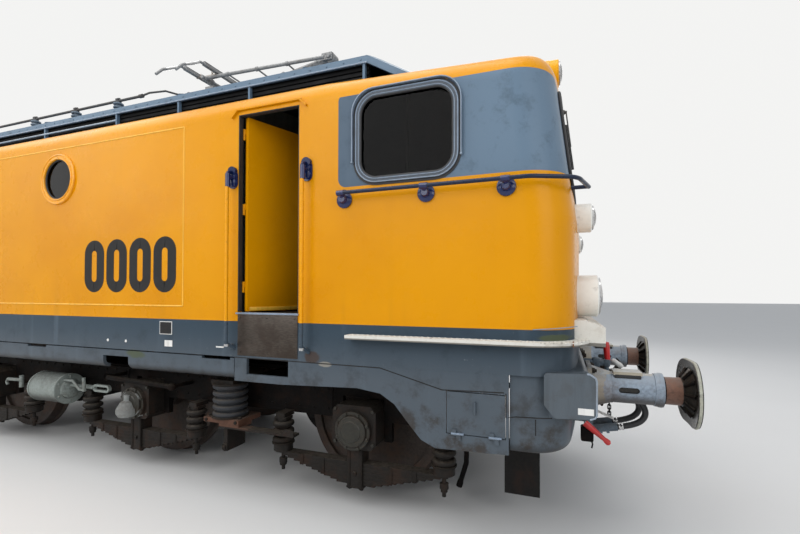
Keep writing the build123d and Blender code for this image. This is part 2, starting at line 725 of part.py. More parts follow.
def bell(centre):
    """The bell-shaped cap in front of the middle axlebox."""
    way = 1 if centre > 0 else -1
    face = Plane.XZ * make_face(Polyline(*BELL_PROFILE, close=True))
    return Pos(centre + way * BELL_X, -BELL_Y, 0) * revolve(face, Axis.Z, 360)


def bogie_frame(centre):
    """Side plates with axlebox openings, transoms and headstocks round the motors."""
    x0, x1 = centre - FRAME_REACH, centre + FRAME_REACH
    side = block(x0, x1, -FRAME_Y[1], -FRAME_Y[0], FRAME_LOW, FRAME_HIGH)
    for i in (-1, 0, 1):
        x = centre + i * AXLE_SPACING
        gap = BOX_HALF + SEAT_GAP
        side = side - block(x - gap, x + gap, -1200, -900, 500, TREAD_RADIUS + 200)
        for way in (-1, 1):
            near, far = sorted((x + way * gap, x + way * (gap + 66)))
            horn = block(near, far, -FRAME_Y[1], -FRAME_Y[0], 480, FRAME_LOW)
            side = side + horn
    side = side + guide_rod(centre)
    frame = side + other_side(side)
    inner = FRAME_Y[0]
    for x in (x0 + 30, centre - AXLE_SPACING / 2, centre + AXLE_SPACING / 2, x1 - 30):
        frame = frame + block(x - 30, x + 30, -inner, inner, 720, 900)
    centre_plate = block(centre - AXLE_SPACING / 2, centre + AXLE_SPACING / 2, -330, 330, 860, 900)
    frame = frame + centre_plate
    return frame - Pos(centre, 0, 800) * Cylinder(PIVOT_RADIUS + SEAT_GAP, 400)


COIL_REACH = 1190
COIL_Y = 1230
END_COIL_REACH = 720


def spring_hanger(x):
    """The coil, rod and nut that hang one end of a leaf spring, with its bracket on the side plate."""
    low, high = END_COIL_Z
    hanger = rod((x, -LEAF_Y, 226), (x, -LEAF_Y, high + 40), 16)
    nut = rod((x, -LEAF_Y, 226), (x, -LEAF_Y, 266), 34)
    plate = block(x - 60, x + 60, -LEAF_Y - 50, -LEAF_Y + 50, high, high + 25)
    arm = block(x - 45, x + 45, -LEAF_Y - 50, -FRAME_Y[1], high + 25, high + 60)
    top = LEAF_LOW + LEAF_COUNT * LEAF_THICKNESS
    seat = rod((x, -LEAF_Y, top), (x, -LEAF_Y, low), END_COIL_RADIUS - 10)
    return coil(x, -LEAF_Y, low, high, END_COIL_RADIUS, 3) + hanger + nut + plate + arm + seat


TRAY_X = (124, 740)
TRAY_Y = (-1340, -1258)
TRAY_Z = (517, 537)


def side_coil(x, way):
    """A large coil spring on its bracket, with the fork below it."""
    low, high = COIL_Z
    spring = coil(x, -COIL_Y, low, high, COIL_RADIUS, 5)
    seat = block(x - 190, x + 190, -COIL_Y - 120, -FRAME_Y[1], low - 40, low)
    cap = block(x - 120, x + 120, -COIL_Y - 110, -FRAME_Y[1], high, high + 30)
    fork = block(x - 20, x + 20, -COIL_Y - 60, -FRAME_Y[1], 300, low - 40)
    root, tip = x + way * TRAY_X[0], x + way * TRAY_X[1]
    tray = block(*sorted((root, tip)), *TRAY_Y, *TRAY_Z)
    lip = block(*sorted((tip, tip - way * 110)), TRAY_Y[0], TRAY_Y[0] + 12, TRAY_Z[1], TRAY_Z[1] + 36)
    lip = chamfer(lip.edges().filter_by(Axis.Y).group_by(Axis.Z)[-1], 20)
    drop = block(*sorted((x - way * 30, root + way * 60)), TRAY_Y[0], -COIL_Y + 60, TRAY_Z[0], low - 40)
    return spring + seat + cap + fork + tray + lip + drop


def motor(axle_x, way):
    """A traction motor beside its axle, with its nose on the next transom."""
    x = axle_x + way * 560
    body = Pos(x, 0, 640) * Rot(90, 0, 0) * Cylinder(MOTOR_RADIUS, 1160)
    nose_end = axle_x + way * (AXLE_SPACING / 2 - 30)
    x0, x1 = sorted((x, nose_end))
    return body + block(x0, x1, -200, 200, 740, 860)


# Brake gear
CYLINDER_OFFSET = -1190
CYLINDER_Y = 1230
CYLINDER_Z = 666
GUARD_REACH = 3688
GUARD_Y = (870, 900)
GUARD_LOW = 154
GUARD_BAR_Z = (550, 612)
LINK_X = -478
LINK_LENGTH = 240
SHOE_GAP = 12
SHOE_THICKNESS = 48
SHOE_Y = (735, 800)
SHOE_Z = (520, 765)
SHOES = ((-1, 1), (0, -1), (0, 1), (1, -1))  # axle of the bogie, side of the wheel


def brake_shoe(axle_x, way):
    """A block beside one near wheel, and the bar that carries it from the transom."""
    transom_face = axle_x + way * (AXLE_SPACING / 2 - 30)
    near, far = TREAD_RADIUS + SHOE_GAP, TREAD_RADIUS + SHOE_GAP + SHOE_THICKNESS
    disc = Plane.XZ.offset(SHOE_Y[0]) * Pos(axle_x, TREAD_RADIUS) * (Circle(far) - Circle(near))
    side = block(*sorted((axle_x + way * 400, axle_x + way * 800)), -SHOE_Y[1], -SHOE_Y[0], *SHOE_Z)
    shoe = extrude(disc, SHOE_Y[1] - SHOE_Y[0]) & side
    start = axle_x + way * (near + 8)
    bar = block(*sorted((start, transom_face)), -SHOE_Y[1] + 12, -SHOE_Y[0] - 12, SHOE_Z[1] - 40, SHOE_Z[1])
    return shoe + bar


def brake_gear(centre, way):
    """The brake cylinder, its rods and the rail guard on the near side of one bogie."""
    x = centre + way * CYLINDER_OFFSET
    body = rod((x - 225, -CYLINDER_Y, CYLINDER_Z), (x + 225, -CYLINDER_Y, CYLINDER_Z), BOX_RADIUS)
    body = body + block(x - 120, x + 120, -CYLINDER_Y, -FRAME_Y[1], CYLINDER_Z - 60, CYLINDER_Z + 60)
    for z in (CYLINDER_Z - 20, CYLINDER_Z + 60):
        start = x - way * 225
        body = body + rod((start - way * 180, -CYLINDER_Y, z), (start + way * 2, -CYLINDER_Y, z), 20)
    far = x + way * 225
    link_x, link_z = centre + way * LINK_X, CYLINDER_Z + 40
    link_end = link_x - way * (LINK_LENGTH / 2 - 10)
    piston = rod((far - way * 2, -CYLINDER_Y, link_z), (link_end, -CYLINDER_Y, link_z), 24)
    ring = Plane.XZ.offset(CYLINDER_Y - 15) * Pos(link_x, link_z)
    ring = extrude(ring * (SlotOverall(LINK_LENGTH, 76) - SlotOverall(LINK_LENGTH - 44, 32)), 30)
    body = body + piston + ring
    guard_x = centre + way * GUARD_REACH
    low, high = GUARD_BAR_Z
    plate = block(guard_x - 130, guard_x + 130, -GUARD_Y[1], -GUARD_Y[0], GUARD_LOW, low)
    root, tip = centre + way * (FRAME_REACH - 150), guard_x + way * 60
    x0, x1 = sorted((root, tip))
    bar = block(x0, x1, -FRAME_Y[1], -FRAME_Y[0], low, high)
    x0, x1 = sorted((root, root + way * 150))
    root_block = block(x0, x1, -FRAME_Y[1], -FRAME_Y[0], high, FRAME_LOW)
    arm = block(guard_x - 60, guard_x + 60, -FRAME_Y[1], -GUARD_Y[0], low, high)
    shoes = [brake_shoe(centre + axle * AXLE_SPACING, side) for axle, side in SHOES]
    return [body, plate + bar + root_block + arm] + shoes


# Roof cover
def cover_face(depth, low):
    """The cross-section of the roof cover between its skin and a depth below it."""
    e, z = COVER_EAVE_Y, COVER_EAVE_Z + COVER_THICKNESS
    outline = [
        Line((e, z), (e, low)),
        Line((e, low), (-e, low)),
        Line((-e, low), (-e, z)),
        ThreePointArc((-e, z), (0, z + COVER_RISE), (e, z)),
    ]
    inner = e - 25
    hollow = [
        Line((inner, z - depth), (inner, low - 10)),
        Line((inner, low - 10), (-inner, low - 10)),
        Line((-inner, low - 10), (-inner, z - depth)),
        ThreePointArc((-inner, z - depth), (0, z + COVER_RISE - depth), (inner, z - depth)),
    ]
    return Plane.YZ * make_face(outline), Plane.YZ * make_face(hollow)


COVER_SKIN = 25
COVER_FOOT_Z = 3385
SKIN_DROP = COVER_EAVE_Z + COVER_THICKNESS - COVER_FOOT_Z + ROOF_FALL * (COVER_FOOT - FALL_START)
cover_outer, cover_hollow = cover_face(COVER_SKIN, COVER_EAVE_Z)
cover_skin = cover_outer - cover_hollow
cover = extrude(cover_skin, COVER_HALF)
slope = Vector(COVER_FOOT - COVER_HALF, 0, -SKIN_DROP)
cover_end = extrude(Pos(COVER_HALF, 0, 0) * cover_skin, slope.length, dir=slope)
cover = (cover + cover_end) - OUTER
cover = cover + other_end(cover)
POST_X = (440, 1280, 2110, 3245, 4375, 5211, 6042, 7160)
under_cover = extrude(cover_face(COVER_SKIN, 3200)[1], COVER_HALF)
louvre = block(0, COVER_HALF, -LOUVRE_Y - LOUVRE_THICKNESS, -LOUVRE_Y, 3300, 3700) & under_cover
louvre = louvre - OUTER
for z in (3430, 3470, 3510):
    slot_y = (-LOUVRE_Y - LOUVRE_THICKNESS - 1, -LOUVRE_Y - 26)
    louvre = louvre - block(-10, COVER_HALF + 10, *slot_y, z, z + 14)
louvre = louvre + other_end(louvre)
post_y = LOUVRE_Y + LOUVRE_THICKNESS
for x in POST_X:
    post = block(x - 10, x + 10, -COVER_EAVE_Y + 3, -post_y - SEAT_GAP, 3300, COVER_EAVE_Z + 40)
    post = post - OUTER
    for shape in four_ways(post):
        cover = cover + shape

# Roof line on its insulators
LINE_Y = 750
LINE_Z = 3975
LINE_END = 4080
COVER_CREST = COVER_EAVE_Z + COVER_THICKNESS + COVER_RISE
COVER_ARC = (COVER_EAVE_Y**2 + COVER_RISE**2) / (2 * COVER_RISE)


def cover_height(y):
    return COVER_CREST - COVER_ARC + math.sqrt(COVER_ARC**2 - y**2)


def insulator(x, y, high, radius):
    """A ribbed insulator standing on the roof cover."""
    low = cover_height(abs(y) - radius) + 1
    body = Pos(x, y, (low + high) / 2) * Cylinder(radius * 0.55, high - low)
    sheds = 4
    pitch = (high - low) / (sheds + 1)
    for i in range(sheds):
        body = body + Pos(x, y, low + pitch * (i + 1)) * Cylinder(radius, pitch * 0.35)
    foot = Pos(x, y, low - 15) * Cylinder(radius * 1.1, 60)
    return body + (foot - COVER_VOLUME)


COVER_VOLUME = extrude(cover_face(COVER_SKIN, 3300)[0], 7000)
COVER_VOLUME = COVER_VOLUME + other_end(COVER_VOLUME)
LINE_X = (1000, 2166, 2958, 3703)
roof_line = rod((-LINE_END, -LINE_Y, LINE_Z), (LINE_END, -LINE_Y, LINE_Z), 15)
for x in LINE_X:
    for way in (-1, 1):
        roof_line = roof_line + insulator(way * x, -LINE_Y, LINE_Z, 55)

# Pantographs
PIVOT_PX, PIVOT_PZ = PANTO_PIVOT
KNEE_ANGLE = math.radians(9.2)
KNEE_X = PIVOT_PX + PANTO_ARM * math.cos(KNEE_ANGLE)
KNEE_Z = PIVOT_PZ + PANTO_ARM * math.sin(KNEE_ANGLE)
UPPER_ANGLE = math.radians(4)
HEAD_X = KNEE_X - PANTO_ARM * math.cos(UPPER_ANGLE)
HEAD_Z = KNEE_Z - PANTO_ARM * math.sin(UPPER_ANGLE)
BASE_Z = (4030, 4080)
BASE_X = (4350, 5950)
BASE_Y = 420
SHAFT_RADIUS = 35


def pantograph_base():
    x0, x1 = BASE_X
    frame = block(x0, x1, -BASE_Y - 30, BASE_Y + 30, *BASE_Z)
    frame = frame - block(x0 + 60, x1 - 60, -BASE_Y + 30, BASE_Y - 30, 4000, 4100)
    for y in (-260, 260):
        bearing = block(PIVOT_PX - 60, PIVOT_PX + 60, y - 25, y + 25, BASE_Z[0], PIVOT_PZ + 60)
        frame = frame + bearing
    frame = frame + block(PIVOT_PX - 60, PIVOT_PX + 60, -BASE_Y, BASE_Y, *BASE_Z)
    frame = frame - rod((PIVOT_PX, -400, PIVOT_PZ), (PIVOT_PX, 400, PIVOT_PZ), SHAFT_RADIUS + SEAT_GAP)
    rest = block(x1 - 120, x1 - 60, -BASE_Y, BASE_Y, *BASE_Z)
    stop_z = PIVOT_PZ + (x1 - 90 - PIVOT_PX) * math.tan(KNEE_ANGLE) - 45 / math.cos(KNEE_ANGLE) - 8
    rest = rest + block(x1 - 115, x1 - 65, -40, 40, BASE_Z[1], stop_z)
    frame = frame + rest
    for x in (x0 + 100, x1 - 150):
        for y in (-BASE_Y, BASE_Y):
            frame = frame + insulator(x, y, BASE_Z[0], 75)
    return frame


def lower_arm():
    shaft = rod((PIVOT_PX, -290, PIVOT_PZ), (PIVOT_PX, 290, PIVOT_PZ), SHAFT_RADIUS)
    arm = rod((PIVOT_PX, 0, PIVOT_PZ), (KNEE_X, 0, KNEE_Z), 45)
    barrel = rod((KNEE_X, -50, KNEE_Z), (KNEE_X, 50, KNEE_Z), 60)
    bore = rod((KNEE_X, -60, KNEE_Z), (KNEE_X, 60, KNEE_Z), 25 + SEAT_GAP)
    return (shaft + arm + barrel) - bore


def upper_arm():
    pin = rod((KNEE_X, -85, KNEE_Z), (KNEE_X, 85, KNEE_Z), 25)
    arm = pin
    for way in (-1, 1):
        arm = arm + block(KNEE_X - 90, KNEE_X + 40, *sorted((way * 56, way * 80)), KNEE_Z - 40, KNEE_Z + 40)
        arm = arm + rod((KNEE_X - 60, way * 76, KNEE_Z - 4), (HEAD_X, way * 330, HEAD_Z), 20)
    return arm + rod((HEAD_X, -380, HEAD_Z), (HEAD_X, 380, HEAD_Z), 22)


PAN_SPACING = 290
PAN_Z = HEAD_Z + 62


def pan_head():
    """Two collector pans on sleeves round the top tube."""
    head = None
    for y in (-240, 240):
        sleeve = rod((HEAD_X, y - 30, HEAD_Z), (HEAD_X, y + 30, HEAD_Z), 34)
        cradle = block(HEAD_X - 145, HEAD_X + 145, y - 12, y + 12, PAN_Z - 30, PAN_Z - 14)
        neck = block(HEAD_X - 20, HEAD_X + 20, y - 12, y + 12, HEAD_Z, PAN_Z - 14)
        piece = sleeve + neck + cradle
        head = piece if head is None else head + piece
    head = head - rod((HEAD_X, -400, HEAD_Z), (HEAD_X, 400, HEAD_Z), 22 + SEAT_GAP)
    for way in (-1, 1):
        x = HEAD_X + way * PAN_SPACING / 2
        low = PAN_Z - 250
        horn = [(-880, low), (-800, low + 90), (-PANTO_HEAD_HALF, PAN_Z)]
        points = [(x, y, z) for y, z in horn] + [(x, -y, z) for y, z in reversed(horn)]
        head = head + tube(points, 60, 15)
        head = head + block(x - 22, x + 22, -500, 500, PAN_Z - 14, PAN_Z + 20)
    return head


# Lamps
LAMPS = (  # y, height, radius, back, front
    (-905, 1680, 150, 8600, 8870),
    (905, 1680, 150, 8600, 8870),
    (-905, 2250, 105, 8600, 8830),
    (905, 2250, 105, 8600, 8830),
)
TOP_LAMP = (0, 3790, 125, 8430, 8610)


def lamp(y, height, radius, back, front):
    housing = rod((back, y, height), (front, y, height), radius)
    housing = chamfer(housing.edges().group_by(Axis.X)[-1], 8)
    pocket = rod((front - 30, y, height), (front + 5, y, height), radius - 18)
    return housing - pocket


def lamp_glass(y, height, radius, front):
    return rod((front - 29.7, y, height), (front - 18, y, height), radius - 18.3)


housings = [lamp(*row) - OUTER for row in LAMPS]
top_foot = block(8440, 8560, -50, 50, 3430, 3790) - OUTER
housings.append(lamp(*TOP_LAMP) + top_foot)
lenses = [lamp_glass(y, z, r, front) for y, z, r, back, front in LAMPS + (TOP_LAMP,)]

# Handrails
RAIL_RADIUS = 14
RAIL_Y = HALF_WIDTH + 75
RAIL_Z = 2428


def boss(x, z, radius=38):
    """A round foot on the wall and a short arm out to a rail."""
    foot = rod((x, -HALF_WIDTH, z), (x, -HALF_WIDTH - 10, z), radius)
    return foot + rod((x, -HALF_WIDTH - 5, z), (x, -RAIL_Y, z), RAIL_RADIUS)


def cab_rail():
    """The rail along the cab side, bent round the corner to the nose."""
    corners = [(7112, -RAIL_Y), (8440, -RAIL_Y), (8720, -1430), (8800, -1130)]
    rail = tube([(x, y, RAIL_Z) for x, y in corners], 150, RAIL_RADIUS)
    for x in (7112, 7745, 8284):
        rail = rail + boss(x, RAIL_Z)
    nose = rod((8798, -1140, RAIL_Z), (8600, -1140, RAIL_Z), RAIL_RADIUS)
    return rail + (nose - OUTER)


DOOR_RAIL_X = (6076, 6788)


def door_rail(x):
    points = [(x, -HALF_WIDTH, 2700), (x, -RAIL_Y, 2680), (x, -RAIL_Y, 1290), (x + 20, -HALF_WIDTH, 1240)]
    rail = tube(points, 25, RAIL_RADIUS) - OUTER
    return rail + rod((x, -HALF_WIDTH, 2700), (x, -HALF_WIDTH - 30, 2700), 40)


# Cab fittings
DESK_Y = 1150


def desk():
    top = [(8000, 2210), (8000, 2300), (8450, 2430), (8500, 2430)]
    points = top + [(8500, FLOOR_TOP), (8300, FLOOR_TOP), (8240, 2130)]
    face = Plane.XZ.offset(-DESK_Y) * make_face(Polyline(*points, close=True))
    return extrude(face, 2 * DESK_Y)


SEAT_X = 7450
SEAT_Y = 620


def seat(y):
    base = rod((SEAT_X, y, FLOOR_TOP), (SEAT_X, y, FLOOR_TOP + 30), 200)
    post = rod((SEAT_X, y, FLOOR_TOP), (SEAT_X, y, 1960), 50)
    pan = block(SEAT_X - 220, SEAT_X + 220, y - 210, y + 210, 1960, 1975)
    back = block(SEAT_X - 260, SEAT_X - 245, y - 190, y + 190, 1960, 2420)
    heel = block(SEAT_X - 260, SEAT_X - 200, y - 60, y + 60, 1960, 1975)
    return base + post + pan + heel + back


def seat_pads(y):
    cushion = rounded_prism(Plane.XY, (SEAT_X - 210, SEAT_X + 210), (y - 205, y + 205), 40, 2075, 1975.5)
    rest = rounded_prism(Plane.YZ, (y - 185, y + 185), (2110, 2410), 40, SEAT_X - 165, SEAT_X - 244.5)
    return [cushion, rest]


# Brake hoses
HOSE_RADIUS = 22
HOSE_A = ((8850, 950), (8950, 950), (9060, 944), (9160, 900), (9190, 800), (9110, 722), (8990, 700))


def corner_radii(points):
    """As large an arc at each corner as its two runs allow."""
    radii = []
    for a, b, c in zip(points, points[1:], points[2:]):
        first, second = Vector(*b) - Vector(*a), Vector(*c) - Vector(*b)
        turn = math.radians(first.get_angle(second))
        radii.append(0.45 * min(first.length, second.length) / math.tan(turn / 2))
    return radii


def hose(y, dx, dz):
    points = [(x + dx, y, z + dz) for x, z in HOSE_A]
    points[0] = (HOSE_A[0][0], y, HOSE_A[0][1] + dz)
    radii = corner_radii(points)
    print("hose bends", [round(r) for r in radii])
    return tube(points, radii, HOSE_RADIUS)


def hose_fittings(y, dx, dz):
    """The cock at the top of a hose and the holder that its end is parked in."""
    x, z = HOSE_A[0]
    cock = rod((BEAM_FACE, y, z + dz), (x, y, z + dz), 30)
    end_x, end_z = HOSE_A[-1][0] + dx, HOSE_A[-1][1] + dz
    before_x, before_z = HOSE_A[-2]
    slope = (before_z + dz - end_z) / (before_x + dx - end_x)
    start_x = BEAM_FACE + 50
    holder = rod((start_x, y, end_z - slope * (end_x - start_x)), (end_x, y, end_z), 30)
    post = block(BEAM_FACE, x, y - 25, y + 25, end_z - 60, z + dz)
    return cock + post + holder


os.makedirs("parts", exist_ok=True)

save("machine_sides", both_sides(machine_side_hinged))
save("cab_sides", four_ways(cab_side))
save("cab_fronts", both_ends(cab_front))
save("roof_mid", roof_mid)
save("roof_cabs", both_ends(roof_cab))
save("floor_deck", floor_deck)
save("solebars", both_sides(solebar))
save("cross_beams", both_ends(bolster), both_ends(headstock))
save("bulkheads", both_ends(bulkhead))
save("centre_pins", both_ends(centre_pin))
save("equipment_block", equipment)
save("skirts", four_ways(skirt))
save("valances", both_sides(valance))
save("aprons", both_ends(apron))
save("ledges", both_ends(ledge()))
save("door_a_near", door_open)
save("door_a_far", other_side(door_closed))
save("door_b_near", other_end(door_closed))
save("door_b_far", other_end(other_side(door_closed)))
save("hatch_a_near", hatch)
save("hatch_a_far", other_side(hatch))
save("hatch_b_near", other_end(hatch))
save("hatch_b_far", other_end(other_side(hatch)))
screen_frames = [both_ends(ring) for ring in screen_rings]
save("window_frames", four_ways(side_frame_ring), screen_frames, [four_ways(ring) for ring in rings])
save("buffer_cases", four_ways(buffer_case()))
save("buffer_heads", four_ways(buffer_head()))
save("couplings", both_ends(coupling()))
for end, way in (("a", 1), ("b", -1)):
    centre = way * PIVOT_X
    axles = [centre + way * i * AXLE_SPACING for i in (1, 0, -1)]
    for number, x in enumerate(axles, start=1):
        save(f"wheelset_{end}{number}", wheelset(x))
    frame_solid = bogie_frame(centre)
    for x, side in zip(axles, (-way, -way, way)):
        frame_solid = frame_solid + motor(x, side)
    save(f"bogie_{end}_frame", frame_solid)
    springs = [axlebox_unit(x) for x in axles] + [side_coil(centre + way * COIL_REACH, way)]
    springs[1] = springs[1] + bell(centre)
    save(f"bogie_{end}_springing", [both_sides(s) for s in springs])
    save(f"bogie_{end}_brakes", [both_sides(s) for s in brake_gear(centre, way)])
    mirror_end = (lambda s: s) if way > 0 else other_end
    save(f"pantograph_{end}_lower", mirror_end(lower_arm()))
    save(f"pantograph_{end}_upper", mirror_end(upper_arm()))
    save(f"pantograph_{end}_head", mirror_end(pan_head()))
save("pantograph_bases", both_ends(pantograph_base()))
save("roof_cover", cover)
save("louvres", both_sides(louvre))
save("roof_line", roof_line)
save("lamps", [both_ends(h) for h in housings])
end_panes = [both_ends(pane) for pane in screens + lenses]
save("glazing", four_ways(side_pane), end_panes, [four_ways(pane) for pane in portholes])
save("handrails", four_ways(cab_rail()), *[four_ways(door_rail(x)) for x in DOOR_RAIL_X])
save("cab_fittings", both_ends(desk()), four_ways(seat(-SEAT_Y)))
save("seat_pads", [four_ways(p) for p in seat_pads(-SEAT_Y)])
HOSES = (("high", -575, 0, 0), ("low", -655, 30, -20))
fittings = []
for name, y, dx, dz in HOSES:
    line = hose(y, dx, dz)
    save(f"hose_a_{name}", line)
    save(f"hose_b_{name}", Rot(0, 0, 180) * line)
    fittings.append(hose_fittings(y, dx, dz))
save("hose_fittings", fittings, [Rot(0, 0, 180) * f for f in fittings])
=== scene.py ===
import logging
import math
from dataclasses import dataclass
from enum import Enum
from typing import Optional, Sequence

import bmesh
import bpy
from mathutils import Matrix, Vector


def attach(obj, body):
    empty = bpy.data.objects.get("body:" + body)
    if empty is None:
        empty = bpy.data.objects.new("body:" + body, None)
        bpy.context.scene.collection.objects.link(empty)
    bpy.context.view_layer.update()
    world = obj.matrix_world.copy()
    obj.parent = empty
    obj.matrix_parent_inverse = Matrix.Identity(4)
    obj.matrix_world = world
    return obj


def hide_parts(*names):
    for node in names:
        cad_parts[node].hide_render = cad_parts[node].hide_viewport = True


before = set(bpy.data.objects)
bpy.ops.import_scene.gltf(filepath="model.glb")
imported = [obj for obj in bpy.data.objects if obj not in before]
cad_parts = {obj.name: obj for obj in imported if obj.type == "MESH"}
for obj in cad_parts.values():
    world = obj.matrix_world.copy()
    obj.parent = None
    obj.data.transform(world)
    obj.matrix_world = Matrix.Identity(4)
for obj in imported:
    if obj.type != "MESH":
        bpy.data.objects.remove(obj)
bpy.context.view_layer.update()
LOG = logging.getLogger("locomotive")

Point = tuple[float, float, float]
RGB = tuple[float, float, float]
Pair = tuple[float, float]
Socket = bpy.types.NodeSocket

# Sizes of the body that several pieces share, in metres
RAIL = 0.03  # above the bottoms of the flanges
WALL = -1.48  # the y of the near side's outer face
BORDER_Z = 1.465 + RAIL
NOSE_X = 8.77
NOSE_RADIUS = 12.0
NOSE_LEAN = 0.128  # how far the nose leans back for each metre above the waist
WAIST = 2.2 + RAIL
CORNER_RADIUS = 0.3
SOFT_EDGE = 0.002  # half the width of the soft border between two paints

# Directions: out from the near side, towards the nose of end a, up and down
OUT = (0, -1, 0)
AHEAD = (1, 0, 0)
UP = (0, 0, 1)
DOWN = (0, 0, -1)

END_A, END_B = 1, -1
ROOT = "body_shell"


class Livery(Enum):
    """The painted zones that a piece of bodywork may show."""

    BODY = "yellow sides with the grey band and mask"
    ROOF = "yellow cant with the grey top"
    GREY = "grey all over"
    YELLOW = "yellow all over"


class Nodes:
    """A material's node tree, with short calls for the nodes that the finishes share."""

    def __init__(self, name: str) -> None:
        """Starts a material of that name with one Principled shader.

        Args:
            name: the material's name.
        """
        self.material = bpy.data.materials.new(name)
        self.material.use_nodes = True
        self.tree = self.material.node_tree
        self.shader = self.tree.nodes["Principled BSDF"]
        self.place = self.add("ShaderNodeTexCoord").outputs["Object"]

    def add(self, kind: str, inputs: Optional[dict] = None, **settings: object) -> bpy.types.Node:
        """Adds a node.

        Args:
            kind: the node's type.
            inputs: a socket, number or colour for each input, by its name or number.
            settings: the node's properties.

        Returns:
            The new node.
        """
        node = self.tree.nodes.new(kind)
        for key, value in settings.items():
            setattr(node, key, value)
        for key, value in (inputs or {}).items():
            self.join(value, node.inputs[key])
        return node

    def join(self, value: object, socket: Socket) -> None:
        """Links a socket, or sets a number, vector or RGB colour on it.

        Args:
            value: the socket, number, vector or colour.
            socket: the input that takes it.
        """
        if isinstance(value, Socket):
            self.tree.links.new(value, socket)
        elif socket.type == "RGBA":
            socket.default_value = (*value, 1.0)
        else:
            socket.default_value = value

    def math(self, operation: str, first: object, second: object = 0.0, clamp: bool = False) -> Socket:
        """One Math node.

        Args:
            operation: the Math node's operation.
            first: a socket or number.
            second: a socket or number.
            clamp: whether the result is kept from 0 to 1.

        Returns:
            The node's output.
        """
        node = self.add("ShaderNodeMath", {0: first, 1: second}, operation=operation, use_clamp=clamp)
        return node.outputs[0]

    def times(self, first: object, second: object) -> Socket:
        """One number times another."""
        return self.math("MULTIPLY", first, second)

    def plus(self, first: object, second: object) -> Socket:
        """One number and another."""
        return self.math("ADD", first, second)

    def minus(self, first: object, second: object, clamp: bool = False) -> Socket:
        """One number less another, kept from 0 to 1 if asked."""
        return self.math("SUBTRACT", first, second, clamp)

    def size(self, value: object) -> Socket:
        """A number without its sign."""
        return self.math("ABSOLUTE", value)

    def axes(self) -> list[Socket]:
        """The x, y and z of a point in the frame of the locomotive."""
        return list(self.add("ShaderNodeSeparateXYZ", {0: self.place}).outputs)

    def waves(self, turn: float) -> Socket:
        """The sum of a sine wave along each axis, which turns by so many radians in a metre."""
        x, y, z = (self.math("SINE", self.times(axis, turn)) for axis in self.axes())
        return self.plus(self.plus(x, y), z)

    def facing(self) -> list[Socket]:
        """The x, y and z of the surface's normal."""
        normal = self.add("ShaderNodeNewGeometry").outputs["Normal"]
        return list(self.add("ShaderNodeSeparateXYZ", {0: normal}).outputs)

    def noise(self, scale: float, detail: float = 3.0, stretch: Point = (1.0, 1.0, 1.0),
              rough: float = 0.55) -> Socket:
        """Fractal noise in the object's space.

        Args:
            scale: how many features there are to a metre.
            detail: octaves of finer noise.
            stretch: a factor along each axis, where a small one draws the noise out.
            rough: the strength of the finer octaves.

        Returns:
            The noise, from 0 to 1.
        """
        place = self.add("ShaderNodeMapping", {"Vector": self.place, "Scale": stretch}).outputs[0]
        values = {"Vector": place, "Scale": scale, "Detail": detail, "Roughness": rough}
        return self.add("ShaderNodeTexNoise", values).outputs["Fac"]

    def step(self, value: object, low: float, high: float) -> Socket:
        """0 below low, 1 above high and smooth between them."""
        values = {"Value": value, "From Min": low, "From Max": high}
        return self.add("ShaderNodeMapRange", values, interpolation_type="SMOOTHSTEP").outputs["Result"]

    def spread(self, value: object, low: float, high: float) -> Socket:
        """Turns a number from 0 to 1 into one from low to high."""
        return self.add("ShaderNodeMapRange",
                        {"Value": value, "To Min": low, "To Max": high}).outputs["Result"]

    def mix(self, share: object, first: object, second: object) -> Socket:
        """A colour between two others.

        Args:
            share: how much of the second colour shows, from 0 to 1.
            first: a socket or an RGB colour.
            second: a socket or an RGB colour.

        Returns:
            The mixed colour.
        """
        return self.add("ShaderNodeMix", {"Factor": share, 6: first, 7: second}, data_type="RGBA").outputs[2]

    def bump(self, height: object, distance: float, strength: float = 1.0, under: object = None) -> Socket:
        """A bumped normal.

        Args:
            height: the height, from 0 to 1.
            distance: what 1 stands for, in metres.
            strength: the node's strength.
            under: another bumped normal that this one adds to.

        Returns:
            The normal.
        """
        values = {"Height": height, "Distance": distance, "Strength": strength}
        if under is not None:
            values["Normal"] = under
        return self.add("ShaderNodeBump", values).outputs["Normal"]

    def dress(self, colour: object, roughness: object, normal: object = None,
              **fixed: object) -> bpy.types.Material:
        """Sets the shader and gives the material back.

        Args:
            colour: a socket or RGB colour.
            roughness: a socket or number.
            normal: a bumped normal, or None.
            fixed: numbers for other sockets of the shader, with _ for a space in the name.

        Returns:
            The finished material.
        """
        values = {"Base Color": colour, "Roughness": roughness}
        values.update({key.replace("_", " "): value for key, value in fixed.items()})
        if normal is not None:
            values["Normal"] = normal
        for key, value in values.items():
            self.join(value, self.shader.inputs[key])
        self.material.diffuse_color = (0.5, 0.5, 0.5, 1.0)
        return self.material


def shade(colour: RGB, factor: float) -> RGB:
    """A colour made darker by a factor."""
    return tuple(factor * part for part in colour)


